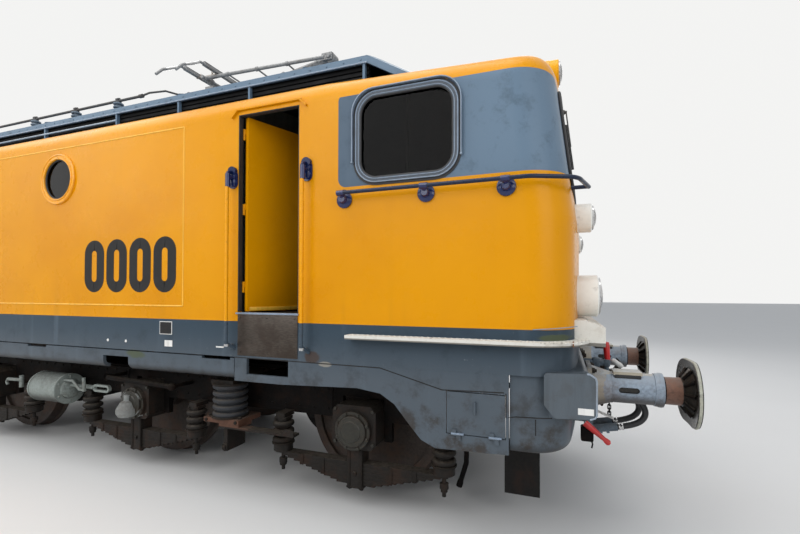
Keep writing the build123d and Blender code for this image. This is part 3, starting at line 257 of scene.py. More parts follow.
@dataclass(frozen=True)
class BodyPaint:
    """The coach paint: warm yellow and blue-grey, slightly wavy sheet, streaked and dusty."""

    name: str
    livery: Livery
    yellow: RGB = (0.7, 0.29, 0.0005)
    deep_yellow: RGB = (0.62, 0.24, 0.0005)
    # Painted light: the mask's grey where light falls on it, towards the nose and at its top, and where it
    # is shaded, further back
    mask_lit_grey: RGB = (0.132, 0.194, 0.262)
    mask_shaded_grey: RGB = (0.078, 0.114, 0.156)
    grey: RGB = (0.037, 0.058, 0.079)
    dark_grey: RGB = (0.024, 0.036, 0.047)
    skirt_grey: RGB = (0.08, 0.098, 0.116)
    mask_rear: float = 7.055
    mask_low: float = 2.486 + RAIL
    mask_high: float = 3.196 + RAIL
    mask_corner: float = 0.065
    mask_dip: float = 0.035
    roof_line: float = 3.345 + RAIL
    nose_start: float = 8.3
    dust: RGB = (0.36, 0.17, 0.012)
    chalk: RGB = (0.125, 0.165, 0.205)
    soil: RGB = (0.044, 0.036, 0.029)
    # Painted shade on faces that look down
    underside_shade: RGB = (0.022, 0.019, 0.017)
    chips: RGB = (0.28, 0.3, 0.31)
    # Stains: x and z of the middle, half sizes along x and z, and the colour
    stains: tuple[tuple[float, float, float, float, RGB], ...] = (
        (4.97, 1.165, 0.13, 0.045, (0.07, 0.085, 0.04)),
        (6.84, 1.235, 0.075, 0.05, (0.06, 0.036, 0.024)),
        (6.95, 1.19, 0.06, 0.022, (0.27, 0.25, 0.21)),
        (8.58, 1.445, 0.13, 0.024, (0.085, 0.1, 0.045)),
    )

    def zones(self, nodes: Nodes) -> object:
        """How much of the grey shows at a point, from 0 to 1.

        Args:
            nodes: the material's nodes.

        Returns:
            A socket, or a plain number where one colour covers all.
        """
        if self.livery is Livery.GREY:
            return 1.0
        if self.livery is Livery.YELLOW:
            return 0.0
        x, _, z = nodes.axes()
        length = nodes.size(x)
        if self.livery is Livery.ROOF:
            above = nodes.step(z, self.roof_line, self.roof_line + 2 * SOFT_EDGE)
            nose = nodes.step(length, self.nose_start, self.nose_start + 2 * SOFT_EDGE)
            return nodes.minus(above, nose, clamp=True)
        band = nodes.minus(1.0, nodes.step(z, BORDER_Z - SOFT_EDGE, BORDER_Z + SOFT_EDGE))
        middle = (self.mask_low + self.mask_high) / 2
        half = (self.mask_high - self.mask_low) / 2 - self.mask_corner
        dip = nodes.times(nodes.step(length, self.nose_start, self.nose_start + 0.32), self.mask_dip)
        shrink = nodes.times(dip, 0.5)
        centre = nodes.minus(middle, shrink)
        up = nodes.size(nodes.minus(z, centre))
        up = nodes.minus(up, nodes.minus(half, shrink))
        up = nodes.math("MAXIMUM", up, 0.0)
        along = nodes.minus(self.mask_rear + self.mask_corner, length)
        along = nodes.math("MAXIMUM", along, 0.0)
        away = nodes.math("SQRT", nodes.plus(nodes.times(up, up), nodes.times(along, along)))
        outside = nodes.step(away, self.mask_corner - SOFT_EDGE, self.mask_corner + SOFT_EDGE)
        mask = nodes.minus(1.0, outside)
        return nodes.math("MAXIMUM", band, mask)

    def make(self) -> bpy.types.Material:
        """Builds the material.

        Returns:
            The material.
        """
        nodes = Nodes("paint_" + self.livery.name.lower())
        x, _, z = nodes.axes()
        tone = nodes.noise(0.9, 4.0)
        streaks = nodes.noise(7.0, 4.0, (1.0, 1.0, 0.07))
        blotches = nodes.noise(5.5, 6.0, rough=0.68)
        fine = nodes.noise(55.0, 4.0)
        yellow = nodes.mix(nodes.step(tone, 0.35, 0.75), self.yellow, self.deep_yellow)
        low_wall = nodes.minus(1.0, nodes.step(z, BORDER_Z, BORDER_Z + 0.35))
        dust = nodes.times(nodes.step(streaks, 0.48, 0.8), nodes.spread(low_wall, 0.05, 0.22))
        yellow = nodes.mix(dust, yellow, self.dust)
        low_grey = nodes.mix(nodes.step(z, BORDER_Z - 0.02, BORDER_Z - 0.45), self.grey, self.skirt_grey)
        # Painted light: the mask is lighter towards the nose and at its top
        bright = nodes.math("MAXIMUM", nodes.step(nodes.size(x), 7.3, 8.3), nodes.step(z, 3.25, 3.33))
        mask = nodes.mix(bright, self.mask_shaded_grey, self.mask_lit_grey)
        grey = nodes.mix(nodes.step(z, BORDER_Z, BORDER_Z + 0.3), low_grey, mask)
        worn = nodes.times(nodes.step(blotches, 0.5, 0.72), 0.38)
        grey = nodes.mix(worn, grey, self.dark_grey)
        chalk = nodes.times(nodes.step(streaks, 0.55, 0.8), 0.3)
        grey = nodes.mix(chalk, grey, self.chalk)
        skirt = nodes.minus(1.0, nodes.step(z, 0.7, 1.3))
        soil = nodes.times(nodes.step(blotches, 0.44, 0.64), nodes.times(skirt, 0.85))
        grey = nodes.mix(soil, grey, self.soil)
        # Painted shade on faces that look down
        under = nodes.times(nodes.step(nodes.facing()[2], -0.1, -0.8), 0.65)
        grey = nodes.mix(under, grey, self.underside_shade)
        for at_x, at_z, half_x, half_z, tone_of in self.stains:
            across = nodes.math("DIVIDE", nodes.minus(nodes.size(x), at_x), half_x)
            up = nodes.math("DIVIDE", nodes.minus(z, at_z), half_z)
            away = nodes.plus(nodes.times(across, across), nodes.times(up, up))
            away = nodes.plus(away, nodes.times(nodes.minus(blotches, 0.5), 3.0))
            grey = nodes.mix(nodes.times(nodes.step(away, 1.0, 0.3), 0.75), grey, tone_of)
        flecks = nodes.times(nodes.step(fine, 0.72, 0.76), 0.3)
        grey = nodes.mix(flecks, grey, self.chips)
        zone = self.zones(nodes)
        colour = nodes.mix(zone, yellow, grey)
        rough = nodes.spread(nodes.plus(blotches, nodes.times(zone, 0.3)), 0.16, 0.42)
        wave = nodes.bump(nodes.noise(1.6, 1.0), 0.012, 0.35)
        skin = nodes.bump(nodes.noise(160.0, 2.0), 0.0006, 0.35, wave)
        return nodes.dress(colour, rough, skin, Specular_IOR_Level=0.15)


@dataclass(frozen=True)
class Soiled:
    """A dark painted or cast surface under dust, rust and oil, with painted highlight on top and painted
    shade below.
    """

    name: str
    base: RGB
    rust: RGB = (0.115, 0.048, 0.022)
    # Dust on faces that look up, which also stands for a painted highlight on them
    dust: RGB = (0.155, 0.135, 0.112)
    rust_share: float = 0.55
    dust_and_highlight_share: float = 0.65
    roughness: Pair = (0.42, 0.85)
    metal: float = 0.0
    grain: float = 0.004
    # Painted zones: the size of x from and to, the size of y from, z from and to, and the colour
    parts: tuple[tuple[float, float, float, float, float, RGB], ...] = ()
    # Painted shade on faces that look down, or None
    under: Optional[RGB] = None
    ragged: float = 0.0
    glint: float = 0.5

    def make(self) -> bpy.types.Material:
        """Builds the material.

        Returns:
            The material.
        """
        nodes = Nodes(self.name)
        up = nodes.facing()[2]
        patches = nodes.noise(6.0, 8.0, rough=0.65)
        speckle = nodes.noise(42.0, 5.0, rough=0.6)
        colour = nodes.mix(nodes.step(speckle, 0.35, 0.75), self.base, shade(self.base, 0.55))
        rusty = nodes.times(nodes.step(patches, 0.46, 0.66), self.rust_share)
        x, y, z = nodes.axes()
        length, width = nodes.size(x), nodes.size(y)
        length = nodes.plus(length, nodes.times(nodes.minus(patches, 0.5), self.ragged))
        for x_from, x_to, y_from, z_from, z_to, paint in self.parts:
            inside = 1.0
            for axis, border, way in ((length, x_from, 1), (length, x_to, -1), (width, y_from, 1),
                                      (z, z_from, 1), (z, z_to, -1)):
                inside = nodes.times(inside, nodes.step(axis, border, border + way * SOFT_EDGE))
            tone = nodes.mix(nodes.step(speckle, 0.3, 0.8), paint, shade(paint, 0.8))
            colour = nodes.mix(inside, colour, tone)
            rusty = nodes.times(rusty, nodes.spread(inside, 1.0, 0.45))
        colour = nodes.mix(rusty, colour, self.rust)
        # Dust on faces that look up, lightened also as a painted highlight
        dust_and_highlight = nodes.times(nodes.step(up, 0.15, 0.95), nodes.step(speckle, 0.25, 0.65))
        colour = nodes.mix(nodes.times(dust_and_highlight, self.dust_and_highlight_share), colour, self.dust)
        # Painted shade on faces that look down
        if self.under is not None:
            colour = nodes.mix(nodes.times(nodes.step(up, -0.15, -0.75), 0.85), colour, self.under)
        oil = nodes.step(nodes.noise(3.1, 3.0), 0.52, 0.68)
        rough = nodes.spread(nodes.minus(patches, nodes.times(oil, 0.3), clamp=True), *self.roughness)
        normal = nodes.bump(speckle, self.grain, 0.6)
        normal = nodes.bump(nodes.noise(240.0, 2.0), 0.0006, 0.5, normal)
        return nodes.dress(colour, rough, normal, Metallic=self.metal, Specular_IOR_Level=self.glint)


@dataclass(frozen=True)
class Enamel:
    """A glossy brushed-on paint with small runs and soft dirt."""

    name: str
    base: RGB
    dirt: RGB = (0.1, 0.08, 0.06)
    dirt_share: float = 0.35
    roughness: float = 0.18
    lumps: float = 0.0015
    coat: float = 0.15

    def make(self) -> bpy.types.Material:
        """Builds the material.

        Returns:
            The material.
        """
        nodes = Nodes(self.name)
        patches = nodes.noise(9.0, 6.0, rough=0.62)
        streaks = nodes.noise(30.0, 3.0, (1.0, 1.0, 0.1))
        colour = nodes.mix(nodes.step(streaks, 0.4, 0.8), self.base, shade(self.base, 0.75))
        colour = nodes.mix(nodes.times(nodes.step(patches, 0.5, 0.72), self.dirt_share), colour, self.dirt)
        rough = nodes.spread(patches, self.roughness, self.roughness + 0.3)
        normal = nodes.bump(nodes.noise(34.0, 2.0), self.lumps, 0.5)
        return nodes.dress(colour, rough, normal, Coat_Weight=self.coat, Coat_Roughness=0.08)


@dataclass(frozen=True)
class SplitEnamel:
    """One glossy paint towards the middle of the locomotive or low down, and another outside."""

    name: str
    inner: RGB
    outer: RGB
    split: float
    low: RGB = (0.0, 0.0, 0.0)
    border: float = -1.0
    height: float = 99.0
    upper: RGB = (0.0, 0.0, 0.0)
    grime: RGB = (0.045, 0.038, 0.03)
    roughness: float = 0.16

    def make(self) -> bpy.types.Material:
        """Builds the material.

        Returns:
            The material.
        """
        nodes = Nodes(self.name)
        x, _, z = nodes.axes()
        outside = nodes.step(nodes.size(x), self.split - 0.001, self.split + 0.001)
        inner = nodes.mix(nodes.step(z, self.border - SOFT_EDGE, self.border + SOFT_EDGE), self.low,
                          self.inner)
        colour = nodes.mix(outside, inner, self.outer)
        colour = nodes.mix(nodes.step(z, self.height - 0.001, self.height + 0.001), colour, self.upper)
        patches = nodes.noise(14.0, 6.0, rough=0.65)
        grime = nodes.times(nodes.step(patches, 0.56, 0.74), 0.35)
        colour = nodes.mix(grime, colour, self.grime)
        rough = nodes.spread(patches, self.roughness, self.roughness + 0.25)
        return nodes.dress(colour, rough, nodes.bump(nodes.noise(30.0, 2.0), 0.0015, 0.5),
                           Specular_IOR_Level=0.25)


@dataclass(frozen=True)
class BareSteel:
    """Rolled or turned steel, browned and scratched."""

    name: str
    base: RGB = (0.36, 0.32, 0.28)
    brown: RGB = (0.13, 0.075, 0.045)
    brown_share: float = 0.6
    roughness: Pair = (0.25, 0.6)
    scratch: Point = (1.0, 1.0, 1.0)

    def make(self) -> bpy.types.Material:
        """Builds the material.

        Returns:
            The material.
        """
        nodes = Nodes(self.name)
        patches = nodes.noise(7.0, 7.0, rough=0.65)
        lines = nodes.noise(120.0, 3.0, self.scratch)
        colour = nodes.mix(nodes.step(lines, 0.35, 0.7), self.base, shade(self.base, 0.7))
        colour = nodes.mix(nodes.times(nodes.step(patches, 0.4, 0.62), self.brown_share), colour, self.brown)
        rough = nodes.spread(patches, *self.roughness)
        return nodes.dress(colour, rough, nodes.bump(lines, 0.0008, 0.5), Metallic=0.75)


@dataclass(frozen=True)
class TreadPlate:
    """Pale painted tread plate with rows of pressed dots, worn, with painted shade on its lower lip and
    underside.
    """

    name: str
    base: RGB = (0.66, 0.64, 0.58)
    worn: RGB = (0.4, 0.34, 0.26)
    hollow: RGB = (0.27, 0.25, 0.21)
    # The next two colours are painted shade: on the upright faces below the lip, and on faces that look down
    shaded_lip: RGB = (0.07, 0.062, 0.05)
    underside_shade: RGB = (0.04, 0.035, 0.03)
    lip: float = 1.374 + RAIL
    pitch: float = 0.024

    def make(self) -> bpy.types.Material:
        """Builds the material.

        Returns:
            The material.
        """
        nodes = Nodes(self.name)
        z = nodes.axes()[2]
        dots = nodes.step(nodes.waves(2 * math.pi / self.pitch), 1.5, 2.1)
        patches = nodes.noise(6.0, 6.0, rough=0.65)
        fine = nodes.noise(60.0, 3.0)
        colour = nodes.mix(nodes.times(nodes.step(patches, 0.52, 0.72), 0.45), self.base, self.worn)
        colour = nodes.mix(nodes.times(nodes.step(fine, 0.55, 0.75), 0.25), colour, self.worn)
        colour = nodes.mix(nodes.times(dots, 0.55), colour, self.hollow)
        # Painted shadow on the upright faces below the lip, and painted shade on faces that look down
        up = nodes.facing()[2]
        dark = nodes.times(nodes.step(z, self.lip + SOFT_EDGE, self.lip - SOFT_EDGE),
                           nodes.step(nodes.size(up), 0.6, 0.4))
        colour = nodes.mix(nodes.times(dark, 0.85), colour, self.shaded_lip)
        colour = nodes.mix(nodes.step(up, -0.3, -0.6), colour, self.underside_shade)
        return nodes.dress(colour, nodes.spread(patches, 0.45, 0.8), nodes.bump(fine, 0.0015, 0.5))


@dataclass(frozen=True)
class ClearPane:
    """Window or lamp glass."""

    name: str
    tint: RGB = (0.42, 0.4, 0.37)
    roughness: float = 0.03
    ior: float = 1.45
    glint: float = 0.5

    def make(self) -> bpy.types.Material:
        """Builds the material.

        Returns:
            The material.
        """
        nodes = Nodes(self.name)
        smears = nodes.noise(4.0, 5.0, (1.0, 1.0, 0.4))
        rough = nodes.spread(nodes.step(smears, 0.5, 0.8), self.roughness, self.roughness + 0.03)
        colour = nodes.mix(nodes.step(smears, 0.3, 0.9), self.tint, shade(self.tint, 0.9))
        fixed = {"Transmission_Weight": 1.0, "IOR": self.ior, "Specular_IOR_Level": self.glint}
        return nodes.dress(colour, rough, None, **fixed)


@dataclass(frozen=True)
class Moulded:
    """Rubber, plastic or woven cloth, told apart by its grain and roughness."""

    name: str
    base: RGB
    roughness: float = 0.6
    grain_scale: float = 180.0
    grain_depth: float = 0.0008
    weave: bool = False

    def make(self) -> bpy.types.Material:
        """Builds the material.

        Returns:
            The material.
        """
        nodes = Nodes(self.name)
        patches = nodes.noise(12.0, 5.0)
        colour = nodes.mix(nodes.step(patches, 0.35, 0.8), self.base,
                           tuple(min(1.0, 1.6 * c + 0.01) for c in self.base))
        grain = nodes.noise(self.grain_scale, 2.0)
        if self.weave:
            grain = nodes.waves(1800.0)
        rough = nodes.spread(patches, self.roughness, min(1.0, self.roughness + 0.2))
        sheen = 0.4 if self.weave else 0.0
        return nodes.dress(colour, rough, nodes.bump(grain, self.grain_depth, 0.5), Sheen_Weight=sheen)


PAINTS = (
    BodyPaint("body", Livery.BODY),
    BodyPaint("roof", Livery.ROOF),
    BodyPaint("grey", Livery.GREY),
    BodyPaint("yellow", Livery.YELLOW),
    # The parts under the body: their own dark paint, darkened further as painted shade under the body
    Soiled(
        "underframe", (0.006, 0.0052, 0.0048), rust=(0.018, 0.01, 0.007), dust=(0.05, 0.043, 0.034),
        glint=0.08,
    ),
    Soiled(
        "brakes", (0.008, 0.007, 0.0065), rust=(0.026, 0.013, 0.009), dust=(0.12, 0.115, 0.1),
        parts=((3.04, 4.36, 1.05, 0.53, 0.95, (0.25, 0.28, 0.26)),), under=(0.03, 0.028, 0.025), glint=0.2,
    ),
    Soiled(
        "running_gear", (0.014, 0.0115, 0.0095), rust=(0.034, 0.017, 0.01), dust=(0.095, 0.08, 0.064),
        glint=0.15,
    ),
    Soiled(
        "springing", (0.014, 0.0115, 0.0095), rust=(0.034, 0.017, 0.01), dust=(0.105, 0.088, 0.07),
        parts=((4.5, 4.76, 1.19, 0.51, 0.74, (0.25, 0.26, 0.25)),
               (5.64, 6.04, 1.05, 0.635, 0.93, (0.032, 0.035, 0.04)),
               (5.58, 6.12, 1.05, 0.56, 0.635, (0.105, 0.05, 0.032))),
        glint=0.2,
    ),
    Soiled(
        "wheel", (0.04, 0.028, 0.022), rust=(0.07, 0.034, 0.018), rust_share=0.6, dust_and_highlight_share=0.3,
        metal=0.3,
    ),
    Soiled(
        "buffer_case", (0.26, 0.32, 0.39), rust=(0.13, 0.078, 0.048), dust=(0.36, 0.4, 0.44),
        rust_share=0.45, roughness=(0.25, 0.6), under=(0.04, 0.03, 0.024),
        parts=((8.6, 8.925, 0.0, 0.0, 2.0, (0.3, 0.265, 0.21)),
               (8.9, 9.21, 0.0, 1.153, 1.3, (0.44, 0.39, 0.3))),
        ragged=0.16,
    ),
    Soiled(
        "stem", (0.17, 0.08, 0.05), rust=(0.24, 0.095, 0.045), dust=(0.2, 0.13, 0.1),
        roughness=(0.25, 0.6),
    ),
    Soiled("fitting", (0.1, 0.135, 0.17), rust=(0.05, 0.035, 0.026), dust=(0.17, 0.19, 0.2)),
    Soiled(
        "buffer_head", (0.014, 0.013, 0.011), rust=(0.06, 0.045, 0.03), dust=(0.06, 0.05, 0.04),
        rust_share=0.3, metal=0.2, roughness=(0.2, 0.5),
    ),
    Soiled(
        "pantograph", (0.3, 0.3, 0.295), rust=(0.13, 0.1, 0.08), dust=(0.34, 0.33, 0.31), rust_share=0.4,
    ),
    Soiled(
        "roof_copper", (0.055, 0.055, 0.056), rust=(0.085, 0.065, 0.05),
        parts=((0.0, 9.0, 0.0, 0.0, 3.985, (0.12, 0.16, 0.2)),),
    ),
    # Near black: the louvres' dark paint, darkened further as painted shadow under the overhanging cover
    Soiled(
        "louvre", (0.004, 0.004, 0.0045), rust=(0.01, 0.008, 0.007), dust=(0.03, 0.03, 0.03),
        rust_share=0.1, dust_and_highlight_share=0.3, glint=0.15,
    ),
    TreadPlate("ledge"),
    SplitEnamel("lamp", (0.86, 0.85, 0.79), (0.86, 0.85, 0.79), 1.0, height=3.6, upper=(0.8, 0.37, 0.004)),
    Enamel("yellow_lamp", (0.8, 0.37, 0.004), dirt=(0.45, 0.22, 0.02), roughness=0.22),
    Enamel("blue_black", (0.004, 0.014, 0.085), dirt=(0.008, 0.01, 0.022), roughness=0.06, lumps=0.004),
    SplitEnamel(
        "rail", (0.78, 0.325, 0.001), (0.012, 0.02, 0.046), 6.95, (0.05, 0.072, 0.095), BORDER_Z + 0.005,
        2.6, (0.006, 0.014, 0.06),
    ),
    Enamel("yellow_rail", (0.8, 0.335, 0.001), dirt=(0.4, 0.19, 0.02), roughness=0.15),
    Enamel("red", (0.6, 0.012, 0.012), roughness=0.25),
    Enamel("cab", (0.17, 0.2, 0.18), roughness=0.45),
    Enamel("cab_dark", (0.035, 0.035, 0.035), roughness=0.4),
    BareSteel("steel"),
    BareSteel("step_plate", (0.075, 0.062, 0.052), (0.036, 0.025, 0.019), scratch=(0.2, 1.0, 1.0)),
    BareSteel("chrome", (0.62, 0.62, 0.62), brown_share=0.1, roughness=(0.06, 0.16)),
    ClearPane("pane", (0.1, 0.096, 0.092), 0.005, 1.14, 0.05),
    ClearPane("lens", (0.92, 0.92, 0.9), 0.02),
    Moulded("rubber", (0.014, 0.014, 0.015), 0.55),
    SplitEnamel("frame_metal", (0.8, 0.335, 0.001), (0.055, 0.07, 0.09), 5.0),
    Moulded("hose", (0.016, 0.016, 0.018), 0.42),
    Moulded("cloth", (0.03, 0.036, 0.05), 0.85, grain_depth=0.0006, weave=True),
    Enamel("black_paint", (0.004, 0.004, 0.0045), dirt=(0.02, 0.018, 0.015), roughness=0.65, coat=0.0),
    Enamel("white_paint", (0.74, 0.73, 0.7), dirt=(0.5, 0.45, 0.38), roughness=0.35),
    Enamel("bead", (0.21, 0.27, 0.35), dirt=(0.1, 0.11, 0.12), roughness=0.22),
    Soiled("rust", (0.2, 0.07, 0.02), rust=(0.26, 0.1, 0.03)),
    Soiled("rim", (0.4, 0.4, 0.33), rust=(0.24, 0.2, 0.12), dust=(0.46, 0.44, 0.37), rust_share=0.4),
    Soiled(
        "box_cover", (0.027, 0.026, 0.02), rust=(0.034, 0.02, 0.012), rust_share=0.35,
        roughness=(0.2, 0.5), glint=0.3,
    ),
    Soiled(
        "cylinder", (0.25, 0.28, 0.26), rust=(0.12, 0.09, 0.07), dust=(0.34, 0.35, 0.32), rust_share=0.3,
        under=(0.03, 0.028, 0.025), glint=0.2,
    ),
    Enamel("rod_light", (0.34, 0.4, 0.46)),
    Moulded("carbon", (0.02, 0.02, 0.021), 0.5),
    Enamel("cheek", (0.07, 0.088, 0.105), dirt=(0.045, 0.042, 0.038), roughness=0.35, coat=0.1),
    # A light colour along the cheek's rounded front edge: painted highlight
    Enamel("cheek_edge_highlight", (0.26, 0.31, 0.37), dirt=(0.12, 0.12, 0.12), roughness=0.3, coat=0.1),
    # A lighter yellow than the body: painted highlight on raised beads that catch the light
    Enamel("highlight_yellow", (0.88, 0.5, 0.05), dirt=(0.6, 0.34, 0.05), roughness=0.3, coat=0.1),
)
FINISHES = {finish.name: finish for finish in PAINTS}
MATERIALS: dict[str, bpy.types.Material] = {}


def material(name: str) -> bpy.types.Material:
    """The material of a named finish, made the first time that it is asked for.

    Args:
        name: a finish's name.

    Returns:
        Its material.
    """
    if name not in MATERIALS:
        MATERIALS[name] = FINISHES[name].make()
    return MATERIALS[name]


# The finish of each CAD node, by the start or end of its name
NODE_FINISHES = (
    ("machine_sides", "body"), ("cab_sides", "body"), ("cab_fronts", "body"), ("roof_mid", "roof"),
    ("roof_cabs", "roof"), ("roof_cover", "grey"), ("skirts", "grey"), ("valances", "grey"),
    ("aprons", "grey"), ("hatch_", "grey"), ("door_", "yellow"), ("ledges", "ledge"), ("glazing", "pane"),
    ("window_frames", "frame_metal"), ("louvres", "louvre"), ("handrails", "rail"), ("lamps", "lamp"),
    ("buffer_cases", "buffer_case"), ("buffer_heads", "buffer_head"), ("couplings", "running_gear"),
    ("hose_fittings", "fitting"), ("hose_", "hose"), ("roof_line", "roof_copper"),
    ("pantograph_", "pantograph"), ("cab_fittings", "cab"), ("bulkheads", "cab"),
    ("equipment_block", "cab_dark"), ("seat_pads", "cloth"), ("wheelset_", "wheel"),
    ("floor_deck", "underframe"), ("solebars", "underframe"), ("cross_beams", "underframe"),
    ("centre_pins", "running_gear"), ("bogie_a_springing", "springing"),
    ("bogie_b_springing", "springing"), ("bogie_a_brakes", "brakes"), ("bogie_b_brakes", "brakes"),
    ("bogie_", "underframe"),
)


def dress_frame() -> None:
    """Gives every CAD node its finish."""
    for name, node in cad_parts.items():
        finish = next(finish for start, finish in NODE_FINISHES if name.startswith(start))
        node.data.materials.clear()
        node.data.materials.append(material(finish))
    LOG.info("dressed %d frame nodes", len(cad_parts))


class Maker:
    """Collects the mesh of one piece in the locomotive's frame."""

    def __init__(self) -> None:
        """Starts an empty mesh."""
        self.mesh = bmesh.new()

    def box(self, low: Point, high: Point, bevel: float = 0.0) -> list[bmesh.types.BMVert]:
        """A block.

        Args:
            low: one corner.
            high: the corner across from it.
            bevel: how far its edges are rounded.

        Returns:
            The block's points.
        """
        centre = (Vector(low) + Vector(high)) / 2
        size = Vector(high) - Vector(low)
        matrix = Matrix.Translation(centre) @ Matrix.Diagonal((*(abs(s) for s in size), 1.0))
        made = bmesh.ops.create_cube(self.mesh, size=1.0, matrix=matrix)["verts"]
        if bevel > 0.0:
            edges = {edge for vert in made for edge in vert.link_edges}
            done = bmesh.ops.bevel(
                self.mesh, geom=list(edges), offset=bevel, segments=2, affect="EDGES", profile=0.5,
            )
            made = done["verts"]
        return made

    def lathe(self, base: Point, along: Point, profile: Sequence[Pair], sides: int = 28) -> None:
        """A turned form.

        Args:
            base: a point on the axis.
            along: the axis's direction.
            profile: pairs of distance along the axis and radius, from one end to the other.
            sides: how many facets go round.
        """
        axis = Vector(along).normalized()
        across = axis.orthogonal().normalized()
        other = axis.cross(across)
        rings = []
        for distance, radius in profile:
            centre = Vector(base) + axis * distance
            if radius < 1e-6:
                rings.append([self.mesh.verts.new(centre)])
                continue
            ring = []
            for i in range(sides):
                angle = 2 * math.pi * i / sides
                spoke = across * math.cos(angle) + other * math.sin(angle)
                ring.append(self.mesh.verts.new(centre + spoke * radius))
            rings.append(ring)
        for first, second in zip(rings, rings[1:]):
            for i in range(sides):
                j = (i + 1) % sides
                pairs = ((first, i), (first, j), (second, j), (second, i))
                corners = list(dict.fromkeys(ring[k % len(ring)] for ring, k in pairs))
                if len(corners) > 2:
                    self.mesh.faces.new(corners)
        for ring, flip in ((rings[0], True), (rings[-1], False)):
            if len(ring) > 1:
                self.mesh.faces.new(ring[::-1] if flip else ring)

    def rod(self, start: Point, end: Point, radius: float, sides: int = 16) -> None:
        """A round bar with slightly rounded ends.

        Args:
            start: the middle of one end.
            end: the middle of the other.
            radius: the bar's radius.
            sides: how many facets go round.
        """
        length = (Vector(end) - Vector(start)).length
        edge = min(radius * 0.15, length * 0.2)
        profile = [(0.0, radius - edge), (edge, radius), (length - edge, radius), (length, radius - edge)]
        self.lathe(start, Vector(end) - Vector(start), profile, sides)

    def tube(self, points: Sequence[Point], radius: float, sides: int = 12, closed: bool = False,
             flat: float = 1.0) -> None:
        """A bar along a line of points.

        Args:
            points: the line's points.
            radius: the bar's radius.
            sides: how many facets go round.
            closed: whether the line runs back to its start.
            flat: how deep the section is against its width.
        """
        line = [Vector(p) for p in points]
        count = len(line)
        rings = []
        normal = None
        for i, point in enumerate(line):
            before = line[i - 1] if closed or i > 0 else point
            after = line[(i + 1) % count] if closed or i < count - 1 else point
            tangent = (after - before).normalized()
            if normal is None:
                normal = tangent.orthogonal().normalized()
                if abs(tangent.y) < 0.9:
                    normal = Vector((0.0, 1.0, 0.0)) - tangent * tangent.y
            normal = (normal - tangent * normal.dot(tangent)).normalized()
            other = tangent.cross(normal)
            ring = []
            for k in range(sides):
                angle = 2 * math.pi * k / sides
                spoke = normal * flat * math.cos(angle) + other * math.sin(angle)
                ring.append(self.mesh.verts.new(point + spoke * radius))
            rings.append(ring)
        self.skin(rings, closed)

    def skin(self, rings: Sequence[Sequence[bmesh.types.BMVert]], closed: bool) -> None:
        """Joins sections of equal count, and closes the ends of an open run.

        Args:
            rings: the sections' points, section by section.
            closed: whether the last section is joined to the first.
        """
        sides = len(rings[0])
        pairs = list(zip(rings, rings[1:])) + ([(rings[-1], rings[0])] if closed else [])
        for first, second in pairs:
            for k in range(sides):
                m = (k + 1) % sides
                self.mesh.faces.new([first[k], first[m], second[m], second[k]])
        if not closed:
            self.mesh.faces.new(rings[0][::-1])
            self.mesh.faces.new(rings[-1])

    def band(
        self, line: Sequence[Pair], out: float, deep: float, wide: float, closed: bool = False
    ) -> None:
        """A flat bar that follows a line in x and z.

        Args:
            line: the line's points.
            out: the y of its outer face.
            deep: how far it goes from there, along y.
            wide: its width.
            closed: whether the line runs back to its start.
        """
        lasts = [line[-1] if closed else None, *line]
        line = [spot for spot, last in zip(line, lasts) if last is None or math.dist(spot, last) > 1e-5]
        count = len(line)
        rings = []
        for i, (x, z) in enumerate(line):
            before = line[i - 1] if closed or i > 0 else line[i]
            after = line[(i + 1) % count] if closed or i < count - 1 else line[i]
            along = Vector((after[0] - before[0], after[1] - before[1])).normalized() * wide / 2
            left, right = (x - along.y, z + along.x), (x + along.y, z - along.x)
            corners = [(left[0], out, left[1]), (right[0], out, right[1])]
            corners += [(right[0], out + deep, right[1]), (left[0], out + deep, left[1])]
            rings.append([self.mesh.verts.new(corner) for corner in corners])
        self.skin(rings, closed)

    def bolt(self, head: Point, out: Point, radius: float, high: float) -> None:
        """A hexagon bolt head with a chamfered top."""
        self.lathe(head, out, [(0.0, radius), (high * 0.8, radius), (high, radius * 0.82)], 6)

    def prism(self, outline: Sequence[Pair], out: float, deep: float) -> None:
        """A flat plate.

        Args:
            outline: its corners in x and z.
            out: the y of its outer face.
            deep: how far it goes from there, along y.
        """
        front = [self.mesh.verts.new((x, out, z)) for x, z in outline]
        back = [self.mesh.verts.new((x, out + deep, z)) for x, z in outline]
        count = len(outline)
        self.mesh.faces.new(front)
        self.mesh.faces.new(back[::-1])
        for i in range(count):
            j = (i + 1) % count
            self.mesh.faces.new([front[i], front[j], back[j], back[i]])

    def doubled(self) -> list[bmesh.types.BMVert]:
        """Adds a copy of what is there, and gives the copy's points.

        Returns:
            The copy's points.
        """
        mesh = self.mesh
        made = bmesh.ops.duplicate(mesh, geom=mesh.verts[:] + mesh.edges[:] + mesh.faces[:])["geom"]
        return [item for item in made if isinstance(item, bmesh.types.BMVert)]

    def mirrored(self, axes: str) -> None:
        """Adds the mirror image of what is there, for each axis named in turn.

        Args:
            axes: the axes' letters.
        """
        for axis in axes:
            index = "xyz".index(axis)
            for vert in self.doubled():
                vert.co[index] = -vert.co[index]

    def copies(self, axes: str, name: str, finish: str) -> bpy.types.Object:
        """Mirrors what is there over each axis named, and makes one piece of it on the body."""
        self.mirrored(axes)
        return self.piece(name, finish)

    def turned(self, pivot: Point, degrees: float) -> None:
        """Turns what is there about an upright line."""
        matrix = Matrix.Rotation(math.radians(degrees), 3, "Z")
        bmesh.ops.rotate(self.mesh, verts=self.mesh.verts[:], cent=Vector(pivot), matrix=matrix)

    def flipped(self, axis: str) -> None:
        """Turns what is there into its mirror image.

        Args:
            axis: the axis that it is mirrored along.
        """
        index = "xyz".index(axis)
        for vert in self.mesh.verts:
            vert.co[index] = -vert.co[index]

